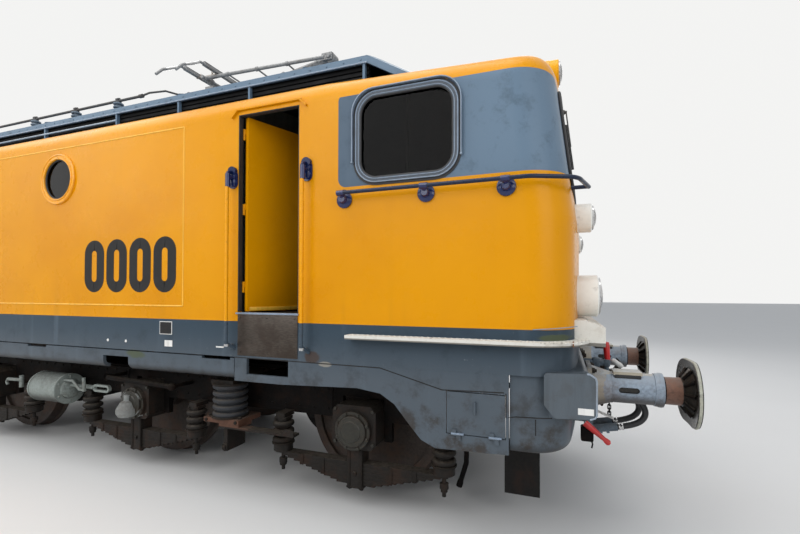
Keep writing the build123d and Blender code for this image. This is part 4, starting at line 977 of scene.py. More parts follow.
    def piece(self, name: str, finish: str, body: str = ROOT, sharp: float = 35.0) -> bpy.types.Object:
        """Makes the object, dresses it and lets it ride on its body.

        Args:
            name: the piece's name.
            finish: the name of its finish.
            body: the body that it moves with.
            sharp: the angle in degrees above which an edge stays sharp.

        Returns:
            The new object.
        """
        bmesh.ops.recalc_face_normals(self.mesh, faces=self.mesh.faces[:])
        data = bpy.data.meshes.new(name)
        self.mesh.to_mesh(data)
        self.mesh.free()
        for polygon in data.polygons:
            polygon.use_smooth = True
        data.set_sharp_from_angle(angle=math.radians(sharp))
        data.materials.append(material(finish))
        thing = bpy.data.objects.new(name, data)
        bpy.context.scene.collection.objects.link(thing)
        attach(thing, body)
        LOG.info("%s: %d faces on %s", name, len(data.polygons), body)
        return thing


def place_all(axes: str, *rows: tuple[Maker, str, str]) -> None:
    """Mirrors and places several pieces, given as rows of the maker, the name and the finish."""
    for maker, name, finish in rows:
        maker.copies(axes, name, finish)


def collar(start: float, stop: float, inner: float, outer: float) -> list[Pair]:
    """The profile of a collar round a bar, for Maker.lathe.

    Args:
        start: where it starts along the axis.
        stop: where it ends.
        inner: its inner radius, a little inside the bar.
        outer: its outer radius.

    Returns:
        Pairs of distance along the axis and radius.
    """
    return [(start, inner), (start, outer), (stop, outer), (stop, inner)]


def corner_arc(centre: Pair, radius: float, start: float, end: float, steps: int = 8) -> list[Pair]:
    """Points on an arc.

    Args:
        centre: its middle.
        radius: its radius.
        start: the angle of its first point, in degrees.
        end: the angle of its last point.
        steps: how many chords stand for it.

    Returns:
        The points in order.
    """
    points = []
    for i in range(steps + 1):
        angle = math.radians(start + (end - start) * i / steps)
        points.append((centre[0] + radius * math.cos(angle), centre[1] + radius * math.sin(angle)))
    return points


def rounded_loop(low: Pair, high: Pair, corner: float) -> list[Pair]:
    """The outline of a rounded rectangle.

    Args:
        low: its lowest corner, before the rounding.
        high: its highest corner.
        corner: the radius of the rounding.

    Returns:
        The points, counter-clockwise.
    """
    loop = corner_arc((high[0] - corner, high[1] - corner), corner, 0, 90)
    loop += corner_arc((low[0] + corner, high[1] - corner), corner, 90, 180)
    loop += corner_arc((low[0] + corner, low[1] + corner), corner, 180, 270)
    loop += corner_arc((high[0] - corner, low[1] + corner), corner, 270, 360)
    return loop


def above_rail(points: Sequence[Pair]) -> list[Pair]:
    """Raises points in x and height above the rail top into the locomotive's frame."""
    return [(x, z + RAIL) for x, z in points]


def nose_x(y: float, z: float) -> float:
    """Where the outer face of end a's nose lies, between its corners.

    Args:
        y: the distance from the centre line.
        z: the height in the locomotive's frame.

    Returns:
        The x of the face.
    """
    lean = NOSE_LEAN * max(0.0, z - WAIST)
    return NOSE_X - NOSE_RADIUS + math.sqrt(NOSE_RADIUS**2 - y**2) - lean


def side_y(x: float, out: float = 0.0) -> float:
    """Where the near side's outer face lies, round the corner to the nose.

    Args:
        x: the distance along the body.
        out: how far out from the face.

    Returns:
        The y of the face.
    """
    bend = NOSE_X - CORNER_RADIUS
    if x <= bend:
        return WALL - out
    reach = CORNER_RADIUS + out
    return WALL + CORNER_RADIUS - math.sqrt(max(0.0, reach**2 - (x - bend) ** 2))


@dataclass
class CabWindows:
    """Beads, seals, drip strips and sash bars of the cab's side windows."""

    low: Pair = (7.24, 2.536)
    high: Pair = (7.938, 3.129)
    corner: float = 0.13
    strip: tuple[Pair, ...] = ((7.181, 2.665), (7.181, 3.02), (7.996, 3.02), (7.996, 2.642))
    strip_top: float = 3.185
    strip_corner: float = 0.165
    sash: float = 7.596

    def loop(self, grow: float) -> list[Pair]:
        """The outline of the glass, grown all round.

        Args:
            grow: by how much.

        Returns:
            The outline in x and z.
        """
        low = (self.low[0] - grow, self.low[1] - grow + RAIL)
        high = (self.high[0] + grow, self.high[1] + grow + RAIL)
        return rounded_loop(low, high, self.corner + grow)

    def build(self) -> None:
        """Makes the pieces for all four windows."""
        bead = Maker()
        bead.tube([(x, WALL - 0.013, z) for x, z in self.loop(0.034)], 0.005, 8, True)
        bead.tube([(x, WALL - 0.014, z) for x, z in self.loop(0.01)], 0.003, 6, True)
        bead.copies("xy", "side_window_beads", "bead")
        seal = Maker()
        seal.tube([(x, WALL - 0.003, z) for x, z in self.loop(-0.001)], 0.01, 8, True)
        seal.band(self.loop(0.047), WALL - 0.006, 0.007, 0.018, True)
        seal.copies("xy", "side_window_seals", "rubber")
        strip = Maker()
        strip.band(self.drip(), WALL - 0.03, 0.031, 0.006)
        for x, z in (self.strip[0], self.strip[-1]):
            strip.box((x - 0.006, WALL - 0.03, z + RAIL - 0.012), (x + 0.006, WALL + 0.001, z + RAIL))
        strip.copies("xy", "side_window_drips", "bead")
        sash = Maker()
        low, high = self.low[1] + RAIL + 0.01, self.high[1] + RAIL - 0.01
        sash.box((self.sash - 0.01, WALL + 0.0205, low), (self.sash + 0.01, WALL + 0.034, high), 0.003)
        sash.copies("xy", "side_window_sashes", "cab_dark")

    def drip(self) -> list[Pair]:
        """The line of the strip that keeps water off the window.

        Returns:
            The line in x and z.
        """
        left, right = self.strip[0][0], self.strip[-1][0]
        top, corner = self.strip_top, self.strip_corner
        line = [self.strip[0]]
        line += corner_arc((left + corner, top - corner), corner, 180, 90)
        line += corner_arc((right - corner, top - corner), corner, 90, 0)
        line.append(self.strip[-1])
        return above_rail(line)


@dataclass
class Portholes:
    """Ring beads, seals and screws of the round windows."""

    places: tuple[float, ...] = (-3.86, -1.29, 1.29, 3.86)
    height: float = 2.84
    glass: float = 0.2
    ring: float = 0.256

    def circle(self, x: float, radius: float, out: float, steps: int = 40) -> list[Point]:
        """Points round one window, at a distance out from the wall."""
        points = corner_arc((x, self.height + RAIL), radius, 0, 360, steps)[:-1]
        return [(px, WALL - out, pz) for px, pz in points]

    def build(self) -> None:
        """Makes the pieces for all eight windows."""
        bead, seal, screws = Maker(), Maker(), Maker()
        for x in self.places:
            bead.tube(self.circle(x, self.ring - 0.01, 0.01), 0.01, 8, True)
            bead.tube(self.circle(x, self.glass + 0.01, 0.013), 0.009, 8, True)
            seal.tube(self.circle(x, self.glass - 0.002, -0.003), 0.01, 8, True)
            for point in self.circle(x, (self.glass + self.ring) / 2, 0.014, 12):
                screws.lathe(point, OUT, [(-0.001, 0.008), (0.002, 0.008), (0.005, 0.004)], 8)
        place_all("y", (bead, "porthole_beads", "yellow_rail"), (seal, "porthole_seals", "rubber"),
                  (screws, "porthole_screws", "yellow_rail"))


@dataclass
class Windscreens:
    """Beads, seals and wipers of the windscreens."""

    across: Pair = (0.07, 1.13)
    up: Pair = (2.48, 3.105)
    corner: float = 0.11

    def loop(self, grow: float, out: float) -> list[Point]:
        """The outline of one screen on the nose, grown all round and set out from it.

        Args:
            grow: by how much.
            out: how far from the nose.

        Returns:
            The outline.
        """
        low = (self.across[0] - grow, self.up[0] - grow + RAIL)
        high = (self.across[1] + grow, self.up[1] + grow + RAIL)
        return [(nose_x(y, z) + out, y, z) for y, z in rounded_loop(low, high, self.corner + grow)]

    def build(self) -> None:
        """Makes the pieces for all four screens."""
        bead, seal = Maker(), Maker()
        bead.tube(self.loop(0.017, 0.014), 0.007, 8, True)
        seal.tube(self.loop(-0.001, 0.004), 0.013, 8, True)
        seal.tube(self.loop(0.036, 0.008), 0.012, 8, True)
        place_all("xy", (bead, "screen_beads", "cab_dark"), (seal, "screen_seals", "rubber"))
        self.wipers()

    def wipers(self) -> None:
        """One wiper to a screen, hung from its motor shaft above the glass."""
        arms, blades = Maker(), Maker()
        y, top = 0.62, 3.165 + RAIL
        shaft = (nose_x(y, top), y, top)
        arms.lathe(shaft, AHEAD, [(-0.01, 0.02), (0.018, 0.02), (0.03, 0.011), (0.04, 0.011)], 14)
        elbow = (nose_x(y, top) + 0.036, y + 0.02, top - 0.03)
        low = (nose_x(y + 0.16, 2.86) + 0.03, y + 0.16, 2.86)
        arms.tube([(shaft[0] + 0.034, y, top), elbow, low], 0.0055, 8)
        tip, heel = (y + 0.24, 2.66), (y + 0.08, 3.06)
        ends = [(nose_x(py, pz) + 0.018, py, pz) for py, pz in (tip, heel)]
        blades.tube([ends[0], ends[1]], 0.007, 6)
        spine = [(x + 0.01, py, pz) for x, py, pz in ends]
        arms.tube([spine[0], spine[1]], 0.004, 6)
        arms.copies("xy", "wiper_arms", "cab_dark")
        blades.copies("xy", "wiper_blades", "rubber")


@dataclass
class Grips:
    """Feet, plates, collars and clamps of the rails along the cabs and beside the doors."""

    feet: tuple[float, ...] = (7.112, 7.746, 8.289)
    foot_z: float = 2.39 + RAIL
    rail_z: float = 2.428 + RAIL
    rail_y: float = -1.555
    collar_y: float = -1.549
    collar: float = 0.0205
    door_rails: tuple[float, ...] = (6.076, 6.788)

    def build(self) -> None:
        """Makes the pieces at all four corners."""
        feet = Maker()
        for x in self.feet:
            feet.lathe((x, WALL - 0.001, self.foot_z), OUT,
                       [(0.0, 0.062), (0.012, 0.062), (0.02, 0.052), (0.024, 0.034), (0.052, 0.024)], 24)
            feet.rod((x, WALL - 0.02, self.foot_z + 0.008), (x, self.collar_y, self.rail_z), self.collar, 14)
            ends = [(x + dx, self.collar_y, self.rail_z) for dx in (-0.03, 0.03)]
            feet.rod(*ends, self.collar, 14)
            for start in (35, 215):
                for px, pz in corner_arc((x, self.foot_z), 0.046, start, start + 110, 1):
                    feet.bolt((px, WALL - 0.013, pz), OUT, 0.008, 0.007)
        for x in self.door_rails:
            self.door_foot(feet, x)
        feet.copies("xy", "rail_feet", "blue_black")
        clamps = Maker()
        for x in self.door_rails:
            clamps.lathe((x, self.collar_y, 1.262 + RAIL), UP, collar(0.0, 0.02, 0.0155, 0.0207), 20)
            clamps.box((x - 0.007, self.rail_y + 0.016, 1.264 + RAIL),
                       (x + 0.007, WALL + 0.001, 1.28 + RAIL), 0.002)
        clamps.copies("xy", "rail_clamps", "chrome")

    def door_foot(self, feet: Maker, x: float) -> None:
        """The long two-lobed plate at the top of a rail beside a door.

        Args:
            feet: what the shapes are added to.
            x: the rail's x.
        """
        low, high = 2.56 + RAIL, 2.714 + RAIL
        outline = rounded_loop((x - 0.045, low), (x + 0.045, high), 0.044)
        feet.prism(outline, WALL - 0.012, 0.013)
        for z in (low + 0.048, high - 0.048):
            feet.lathe((x, WALL - 0.011, z), OUT, [(0.0, 0.036), (0.01, 0.034), (0.018, 0.022), (0.02, 0.0)],
                       16)
        feet.rod((x, WALL - 0.01, 2.65 + RAIL), (x, self.collar_y, 2.64 + RAIL), 0.0195, 14)
        feet.rod((x, self.collar_y, 2.56 + RAIL), (x, self.collar_y, 2.672 + RAIL), self.collar, 14)


@dataclass
class LampGlass:
    """Domed glasses, rims and bowls in front of the lamps."""

    # Lamps: the y, the height above the rail, the radius and the x of the rim
    lamps: tuple[tuple[float, float, float, float], ...] = (
        (0.905, 1.68, 0.15, 8.87), (0.905, 2.25, 0.105, 8.83), (0.0, 3.79, 0.125, 8.61),
    )

    def build(self) -> None:
        """Makes the pieces of all ten lamps."""
        rims, bowls, discs = Maker(), Maker(), Maker()
        for y, height, radius, front in self.lamps:
            z = height + RAIL
            ways = (y, -y) if y else (0.0,)
            for side in ways:
                at = (front, side, z)
                r = radius - 0.02
                rim = [(-0.01, r - 0.012), (-0.01, r + 0.004), (0.01, r + 0.004), (0.014, r - 0.004)]
                rims.lathe(at, AHEAD, [*rim, (0.014, r - 0.012)], 36)
                bowl = [(-0.016, 0.02), (-0.015, r * 0.5), (-0.011, r - 0.014), (-0.0105, r - 0.014)]
                bowls.lathe(at, AHEAD, [*bowl, (-0.0145, 0.02)], 28)
                dome = [(0.014, r * 0.86), (0.024, r * 0.62), (0.03, r * 0.32), (0.032, 0.0)]
                discs.lathe(at, AHEAD, [(0.002, 0.0), (0.002, r - 0.014), (0.004, r - 0.014), *dome], 32)
        place_all("x", (rims, "lamp_rims", "chrome"), (bowls, "lamp_bowls", "chrome"),
                  (discs, "lamp_discs", "lens"))
        hood = Maker()
        z, radius = self.lamps[-1][1] + RAIL, self.lamps[-1][2]
        back = [(0.0, 0.06), (0.006, 0.115), (0.02, radius + 0.003), (0.1, radius + 0.003)]
        hood.lathe((8.425, 0, z), AHEAD, [*back, (0.1, radius - 0.002)], 36)
        hood.box((8.44, -0.05, z - 0.16), (8.55, 0.05, z - 0.09), 0.01)
        hood.copies("x", "top_lamp_backs", "yellow_lamp")


@dataclass
class NoseStep:
    """Tread studs and joints of the ledges and the raised step, and the border line round the corner."""

    step: tuple[Pair, ...] = ((8.765, 1.52), (8.89, 1.475))
    ledge_z: float = 1.3945 + RAIL

    def build(self) -> None:
        """Makes the pieces at both ends."""
        studs = Maker()
        (x0, z0), (x1, z1) = self.step
        up = Vector((z0 - z1, 0.0, x1 - x0)).normalized()
        for row in range(5):
            share = (row + 0.5) / 5
            for k in range(70):
                y = -1.224 + 0.0355 * k + (0.0178 if row % 2 else 0.0)
                if y > 1.23:
                    continue
                spot = (x0 + share * (x1 - x0), y, z0 + share * (z1 - z0) + RAIL - 0.0005)
                studs.lathe(spot, up, [(0.0, 0.0075), (0.003, 0.0055), (0.003, 0.003), (0.001, 0.002)], 6)
        for k in range(38):
            for y in (-1.5, -1.535):
                x = 7.19 + 0.041 * k + (0.02 if y < -1.51 else 0.0)
                for side in (y, -y):
                    studs.lathe(
                        (x, side, self.ledge_z), UP, [(0.0, 0.01), (0.0035, 0.007), (0.0035, 0.003)], 6,
                    )
        studs.copies("x", "step_studs", "ledge")
        joints = Maker()
        for x in (7.8, 8.69):
            out = -1.5695 if x < 8 else -1.469
            joints.box((x - 0.003, out, 1.366 + RAIL), (x + 0.003, -1.4, 1.3962 + RAIL))
        joints.copies("xy", "ledge_joints", "rust")
        line = Maker()
        start, reach = 8.45, 0.265
        points = []
        for k in range(11):
            x = start + reach * k / 10
            points.append((x, side_y(x, 0.001), BORDER_Z + 0.002 + 0.02 * (x - start) / reach))
        line.tube(points, 0.003, 8)
        line.copies("xy", "nose_corner_lines", "bead")


@dataclass
class Skirts:
    """Joints, hatch strips, plates and edges on the grey work below the cabs."""

    seams: tuple[tuple[Pair, ...], ...] = (
        ((6.1, 1.168), (7.401, 1.16), (7.859, 1.04), (8.272, 1.054)),
        ((8.284, 1.05), (8.284, 0.894), (8.346, 0.907), (8.466, 0.912)),
        ((8.466, 0.901), (8.466, 0.8)),
    )
    cheek: tuple[Pair, ...] = (
        (8.517, 1.185), (8.517, 1.0), (8.575, 0.926), (8.59, 0.922), (8.78, 0.934), (8.808, 0.945),
        (8.818, 0.962), (8.819, 1.165), (8.812, 1.186), (8.781, 1.206), (8.765, 1.208), (8.53, 1.2),
    )

    def build(self) -> None:
        """Makes the pieces at all four corners."""
        seam = Maker()
        for line in self.seams:
            seam.band(above_rail(line), WALL - 0.0012, 0.004, 0.007)
        corner = []
        for k in range(8):
            x = self.seams[1][-1][0] + 0.014 * k
            corner.append((x, side_y(x, 0.0005), 0.942 + 0.0007 * k))
        seam.tube(corner, 0.0035, 6)
        seam.copies("xy", "skirt_seams", "black_paint")
        cheeks, edges, stickers = Maker(), Maker(), Maker()
        outline = above_rail(self.cheek)
        cheeks.prism(outline, WALL - 0.006, 0.09)
        # A light tube along the rounded front edge: a painted highlight
        edges.tube([(x, WALL - 0.004, z) for x, z in outline[4:11]], 0.006, 8)
        stickers.box((8.713, WALL - 0.0072, 0.96 + RAIL), (8.802, WALL - 0.005, 0.999 + RAIL))
        place_all("xy", (cheeks, "beam_cheeks", "cheek"), (edges, "cheek_edges", "cheek_edge_highlight"),
                  (stickers, "blank_stickers", "white_paint"))
        strips = Maker()
        for x0, x1 in ((7.924, 8.01), (8.175, 8.258)):
            strips.box((x0, WALL - 0.0155, 0.752 + RAIL), (x1, WALL - 0.001, 0.764 + RAIL), 0.002)
        strips.copies("xy", "hatch_strips", "bead")
        plates = Maker()
        for x0, x1, z0, z1 in ((5.264, 5.41, 1.328, 1.443), (5.325, 5.415, 1.222, 1.277),
                               (5.905, 5.985, 1.238, 1.25)):
            plates.box((x0, WALL - 0.003, z0 + RAIL), (x1, WALL + 0.001, z1 + RAIL))
        for x in (4.603, 4.842):
            plates.lathe((x, WALL, 1.249 + RAIL), OUT, [(-0.001, 0.013), (0.003, 0.013), (0.004, 0.009)], 14)
        plates.piece("blank_plates", "white_paint")
        dark = Maker()
        dark.box((5.27, WALL - 0.004, 1.334 + RAIL), (5.404, WALL - 0.002, 1.437 + RAIL))
        dark.piece("blank_plate_fields", "black_paint")


@dataclass
class Doorways:
    """Step plates, sills, seals and drip strips round the cab doors."""

    rear: float = 6.124
    front: float = 6.711
    low: float = 1.534
    high: float = 3.168

    def build(self) -> None:
        """Makes the pieces at all four doors."""
        sill = Maker()
        z = self.low + RAIL
        sill.box((self.rear - 0.012, WALL - 0.012, z - 0.012), (self.front + 0.004, WALL + 0.045, z + 0.003),
                 0.003)
        sill.copies("xy", "door_sills", "bead")
        plate = Maker()
        plate.box((self.rear + 0.006, WALL - 0.004, 1.185 + RAIL),
                  (self.front - 0.004, WALL + 0.001, z - 0.014), 0.001)
        for x in (self.rear + 0.03, (self.rear + self.front) / 2, self.front - 0.03):
            for height in (1.215, 1.495):
                plate.lathe((x, WALL - 0.003, height + RAIL), OUT,
                            [(0.0, 0.009), (0.003, 0.008), (0.004, 0.004)], 8)
        plate.copies("xy", "door_kick_plates", "step_plate")
        seals = Maker()
        for x in (self.rear + 0.004, self.front - 0.004):
            seals.box((x - 0.004, WALL + 0.002, z + 0.01),
                      (x + 0.004, WALL + 0.044, self.high + RAIL - 0.004))
        seals.box((self.rear, WALL + 0.002, self.high + RAIL - 0.006),
                  (self.front, WALL + 0.044, self.high + RAIL + 0.001))
        seals.copies("xy", "door_seals", "rubber")
        drips = Maker()
        drips.band(above_rail([(6.724, 3.205), (6.78, 3.15)]), WALL - 0.022, 0.023, 0.014)
        drips.band(above_rail([(6.116, 3.205), (6.06, 3.15)]), WALL - 0.022, 0.023, 0.014)
        drips.band(above_rail([(6.11, 3.208), (6.73, 3.208)]), WALL - 0.016, 0.02, 0.01)
        drips.copies("xy", "door_drips", "yellow")
        self.open_leaf()

    def open_leaf(self) -> None:
        """The kick strip on the open leaf, and the keeps that a latch shuts into on every doorway."""
        strip = Maker()
        strip.box((self.rear + 0.03, WALL + 0.001, self.low + RAIL + 0.014),
                  (self.front - 0.03, WALL + 0.0055, self.low + RAIL + 0.045), 0.001)
        strip.turned((6.129, -1.418, 0.0), 70.0)
        strip.piece("door_a_near_kick_strip", "highlight_yellow", "door_a_near")
        keeps = Maker()
        for height in (1.768, 2.27):
            keeps.box((self.front - 0.009, WALL + 0.008, height + RAIL - 0.03),
                      (self.front + 0.001, WALL + 0.042, height + RAIL + 0.03), 0.002)
        keeps.copies("xy", "door_keeps", "bead")


@dataclass
class SideSeams:
    """Weld beads and number blocks on the sides of the machine room."""

    number_x: Pair = (4.24, 5.457)
    number_z: Pair = (1.7, 2.2)
    stroke: float = 0.1

    def build(self) -> None:
        """Makes the pieces on both sides."""
        beads = Maker()
        top, low, x = 3.15 + RAIL, 1.582 + RAIL, 5.53
        beads.tube([(-x, WALL, low), (x, WALL, low)], 0.006, 8)
        beads.tube([(-x, WALL, top), (x, WALL, top)], 0.006, 8)
        for side in (-x, x, 0.0):
            beads.tube([(side, WALL, low), (side, WALL, top)], 0.0055, 8)
        # The beads take a lighter yellow, a painted highlight
        beads.copies("y", "side_beads", "highlight_yellow")
        digits = Maker()
        x0, x1 = self.number_x
        low, high = self.number_z[0] + RAIL, self.number_z[1] + RAIL
        pitch = (x1 - x0) / 4
        for k in range(4):
            left = x0 + k * pitch + 0.026 + self.stroke / 2
            right = x0 + (k + 1) * pitch - 0.008 - self.stroke / 2
            outline = rounded_loop(
                (left, low + self.stroke / 2), (right, high - self.stroke / 2), (right - left) / 2 - 0.001,
            )
            digits.band(outline, WALL - 0.0016, 0.0022, self.stroke, True)
        digits.mirrored("x")
        digits.copies("y", "number_blocks", "black_paint")


@dataclass
class BufferDress:
    """Rims, ribs, bands and bolts of the buffers."""

    across: float = 0.875
    height: float = 1.025
    base: float = 8.82
    ring: float = 9.251
    face: float = 9.476
    dome: float = 1.5
    # The ring at the case's mouth: distance from self.ring, radius
    ring_profile: tuple[Pair, ...] = (
        (-0.03, 0.107), (-0.028, 0.112), (0.0, 0.1165), (0.0, 0.118), (0.014, 0.119), (0.025, 0.1165),
        (0.0255, 0.096),
    )
    head_half: Pair = (0.28, 0.215)
    head_corner: float = 0.19

    def face_x(self, radius: float) -> float:
        """The x of the domed face at a radius from its middle."""
        return self.face - self.dome + math.sqrt(self.dome**2 - radius**2)

    def build(self) -> None:
        """Makes the pieces of all four buffers."""
        z = self.height + RAIL
        bands, bolts, rims, stems = Maker(), Maker(), Maker(), Maker()
        at = (0.0, -self.across, z)
        bands.lathe(at, AHEAD, collar(8.955, 8.962, 0.107, 0.1115), 40)
        bands.lathe(at, AHEAD, [(self.ring + step, radius) for step, radius in self.ring_profile], 40)
        for dy in (-0.13, 0.13):
            for dz in (-0.13, 0.13):
                x, place = self.base - 0.0005, (-self.across + dy, z + dz)
                bolts.lathe((x, *place), AHEAD, [(0.0, 0.026), (0.004, 0.026)], 16)
                bolts.bolt((x + 0.004, *place), AHEAD, 0.021, 0.018)
                bolts.lathe((x + 0.02, *place), AHEAD, [(0.0, 0.012), (0.012, 0.012), (0.014, 0.009)], 12)
        stems.lathe(at, AHEAD, collar(9.277, 9.286, 0.0932, 0.0965), 36)
        outline = rounded_loop((-self.head_half[0], -self.head_half[1]), self.head_half, self.head_corner)
        rim = []
        for y, dz in outline:
            radius = math.hypot(y, dz)
            shrink = 1.0 - 0.006 / radius
            rim.append((self.face_x(radius) - 0.014, -self.across + y * shrink, z + dz * shrink))
        rims.tube(rim, 0.0115, 10, True)
        # A dark box under the tread plate's edge: a painted shadow beneath the plate
        tread_shadow_boxes = Maker()
        tread_shadow_boxes.box((8.972, -self.across - 0.0752, z + 0.077), (9.138, -self.across + 0.0752, z + 0.1045),
                  0.002)
        tread_shadow_boxes.copies("xy", "buffer_tread_shadows", "rubber")
        sleeve = Maker()
        sleeve.lathe(at, AHEAD, [(9.2775, 0.0925), (9.2785, 0.0938), (9.384, 0.0942), (9.386, 0.0925)], 40)
        sleeve.copies("xy", "buffer_stem_sleeves", "stem")
        for k in range(5):
            angle = math.radians(33 * k - 66)
            for side in (1, -1):
                near, far = 0.1, 0.168
                x0, x1 = 9.392, self.face_x(far) - 0.031
                dy, dz = side * math.cos(angle), math.sin(angle)
                start = (x0, -self.across + near * dy, z + near * dz)
                stop = (x1, -self.across + far * dy, z + far * dz)
                stems.rod(start, stop, 0.012, 8)
        place_all("xy", (bands, "buffer_bands", "buffer_case"), (bolts, "buffer_bolts", "running_gear"),
                  (rims, "buffer_rims", "rim"), (stems, "buffer_stem_ribs", "underframe"))


@dataclass
class EndFittings:
    """Air cocks, handles, clamps, chain and bolts at the buffer beams."""

    beam: float = 8.79
    cock_y: float = -0.622
    cock_z: float = 1.16 + RAIL
    hose_slope: Point = (1, 0, 0.18)
    # Hose ends: the y, and the x and height of the clamp at the holder
    clamps: tuple[Point, ...] = ((-0.575, 9.003, 0.702), (-0.655, 9.033, 0.682))
    chain: Pair = (8.978, -0.52)

    def build(self) -> None:
        """Makes the pieces at both ends."""
        red, dark, bright, white, grey = Maker(), Maker(), Maker(), Maker(), Maker()
        # The upper red handle stands over its cock, the lower one slopes down and ends in a ball
        red.lathe((8.957, self.cock_y, 1.172 + RAIL), (-0.06, 0.0, 1.0),
                  [(0.0, 0.014), (0.008, 0.021), (0.12, 0.024), (0.146, 0.02), (0.152, 0.0)], 16)
        start, stop = (8.775, -0.978, 0.776 + RAIL), (8.917, -1.0, 0.665 + RAIL)
        along = Vector(stop) - Vector(start)
        ball = [(-0.02, 0.015), (-0.008, 0.019), (0.012, 0.02), (0.024, 0.01)]
        ball = [(along.length + step, radius) for step, radius in ball]
        red.lathe(start, along, [(0.0, 0.024), (0.05, 0.022), *ball], 16)
        dark.box((8.75, -0.965, 0.635 + RAIL), (8.835, -0.9, 0.745 + RAIL), 0.012)
        dark.tube([(8.82, -0.95, 0.65 + RAIL), (8.828, -0.95, 0.62 + RAIL), (8.822, -0.95, 0.592 + RAIL)],
                  0.006, 6)
        grey.rod((8.785, self.cock_y, self.cock_z), (8.975, self.cock_y, self.cock_z), 0.026, 16)
        grey.box((8.85, -0.652, 1.125 + RAIL), (8.905, -0.592, 1.195 + RAIL), 0.01)
        grey.box((8.93, -0.65, 1.13 + RAIL), (8.975, -0.594, 1.188 + RAIL), 0.01)
        grey.rod((8.952, self.cock_y, 1.095 + RAIL), (8.952, self.cock_y, 1.15 + RAIL), 0.017, 12)
        white.lathe((8.99, -0.61, 1.185 + RAIL), (0.075, 0.0, -0.055),
                    [(0.0, 0.01), (0.012, 0.017), (0.075, 0.019), (0.092, 0.012)], 12)
        white.tube([(8.86, -0.7, 0.806 + RAIL), (8.889, -0.7, 0.793 + RAIL), (8.985, -0.745, 0.765 + RAIL)],
                   0.0095, 8)
        for y, x, z in self.clamps:
            for step in (0.0, 0.022):
                bright.lathe((x + step, y, z + 0.18 * step + RAIL), self.hose_slope,
                             collar(-0.004, 0.005, 0.022, 0.0265), 24)
            bright.box((x - 0.002, y - 0.034, z + RAIL - 0.008), (x + 0.026, y - 0.022, z + RAIL + 0.01),
                       0.002)
        for (y, *_), z in zip(self.clamps, (0.677 + RAIL, 0.652 + RAIL)):
            grey.lathe((8.9, y, z), self.hose_slope, collar(-0.012, 0.012, 0.031, 0.04), 6)
            grey.lathe((8.95, y, z + 0.009), self.hose_slope, collar(-0.01, 0.01, 0.031, 0.037), 18)
        for k in range(6):
            self.link(dark, (*self.chain, 0.85 - 0.026 * k), k % 2 == 0)
        dark.rod((8.79, -0.52, 0.878), (8.985, -0.52, 0.872), 0.011, 10)
        pieces = (
            (red, "cock_handles", "red"), (dark, "cock_bodies", "underframe"),
            (grey, "cock_unions", "fitting"), (bright, "hose_clamps", "chrome"),
            (white, "release_pulls", "white_paint"),
        )
        for maker, name, finish in pieces:
            self.both_ends(maker)
            maker.piece(name, finish)
        self.beam_bolts()

    def both_ends(self, maker: Maker) -> None:
        """Adds the same fittings turned half round for the other end."""
        for vert in maker.doubled():
            vert.co.x, vert.co.y = -vert.co.x, -vert.co.y

    def link(self, maker: Maker, centre: Point, across: bool) -> None:
        """One oval link of a chain that hangs straight down.

        Args:
            maker: what the link is added to.
            centre: its middle.
            across: whether it lies across the locomotive.
        """
        loop = rounded_loop((-0.011, -0.02), (0.011, 0.02), 0.0105)
        offsets = [(0.0, side, up) if across else (side, 0.0, up) for side, up in loop]
        maker.tube([Vector(centre) + Vector(offset) for offset in offsets[::3]], 0.0048, 6, True)

    def beam_bolts(self) -> None:
        """Bolts round the hook's plate and along the beam."""
        bolts = Maker()
        z = 1.025 + RAIL
        for dy in (-0.115, 0.115):
            for dz in (-0.115, 0.115):
                bolts.bolt((8.8145, dy, z + dz), AHEAD, 0.02, 0.018)
        for y in (-1.3, -1.22, -0.42, -0.34, 0.34, 0.42, 1.22, 1.3):
            for height in (0.96, 1.15):
                bolts.lathe((self.beam - 0.001, y, height + RAIL), AHEAD,
                            [(0.0, 0.017), (0.006, 0.015), (0.01, 0.007)], 12)
        bolts.copies("x", "beam_bolts", "running_gear")


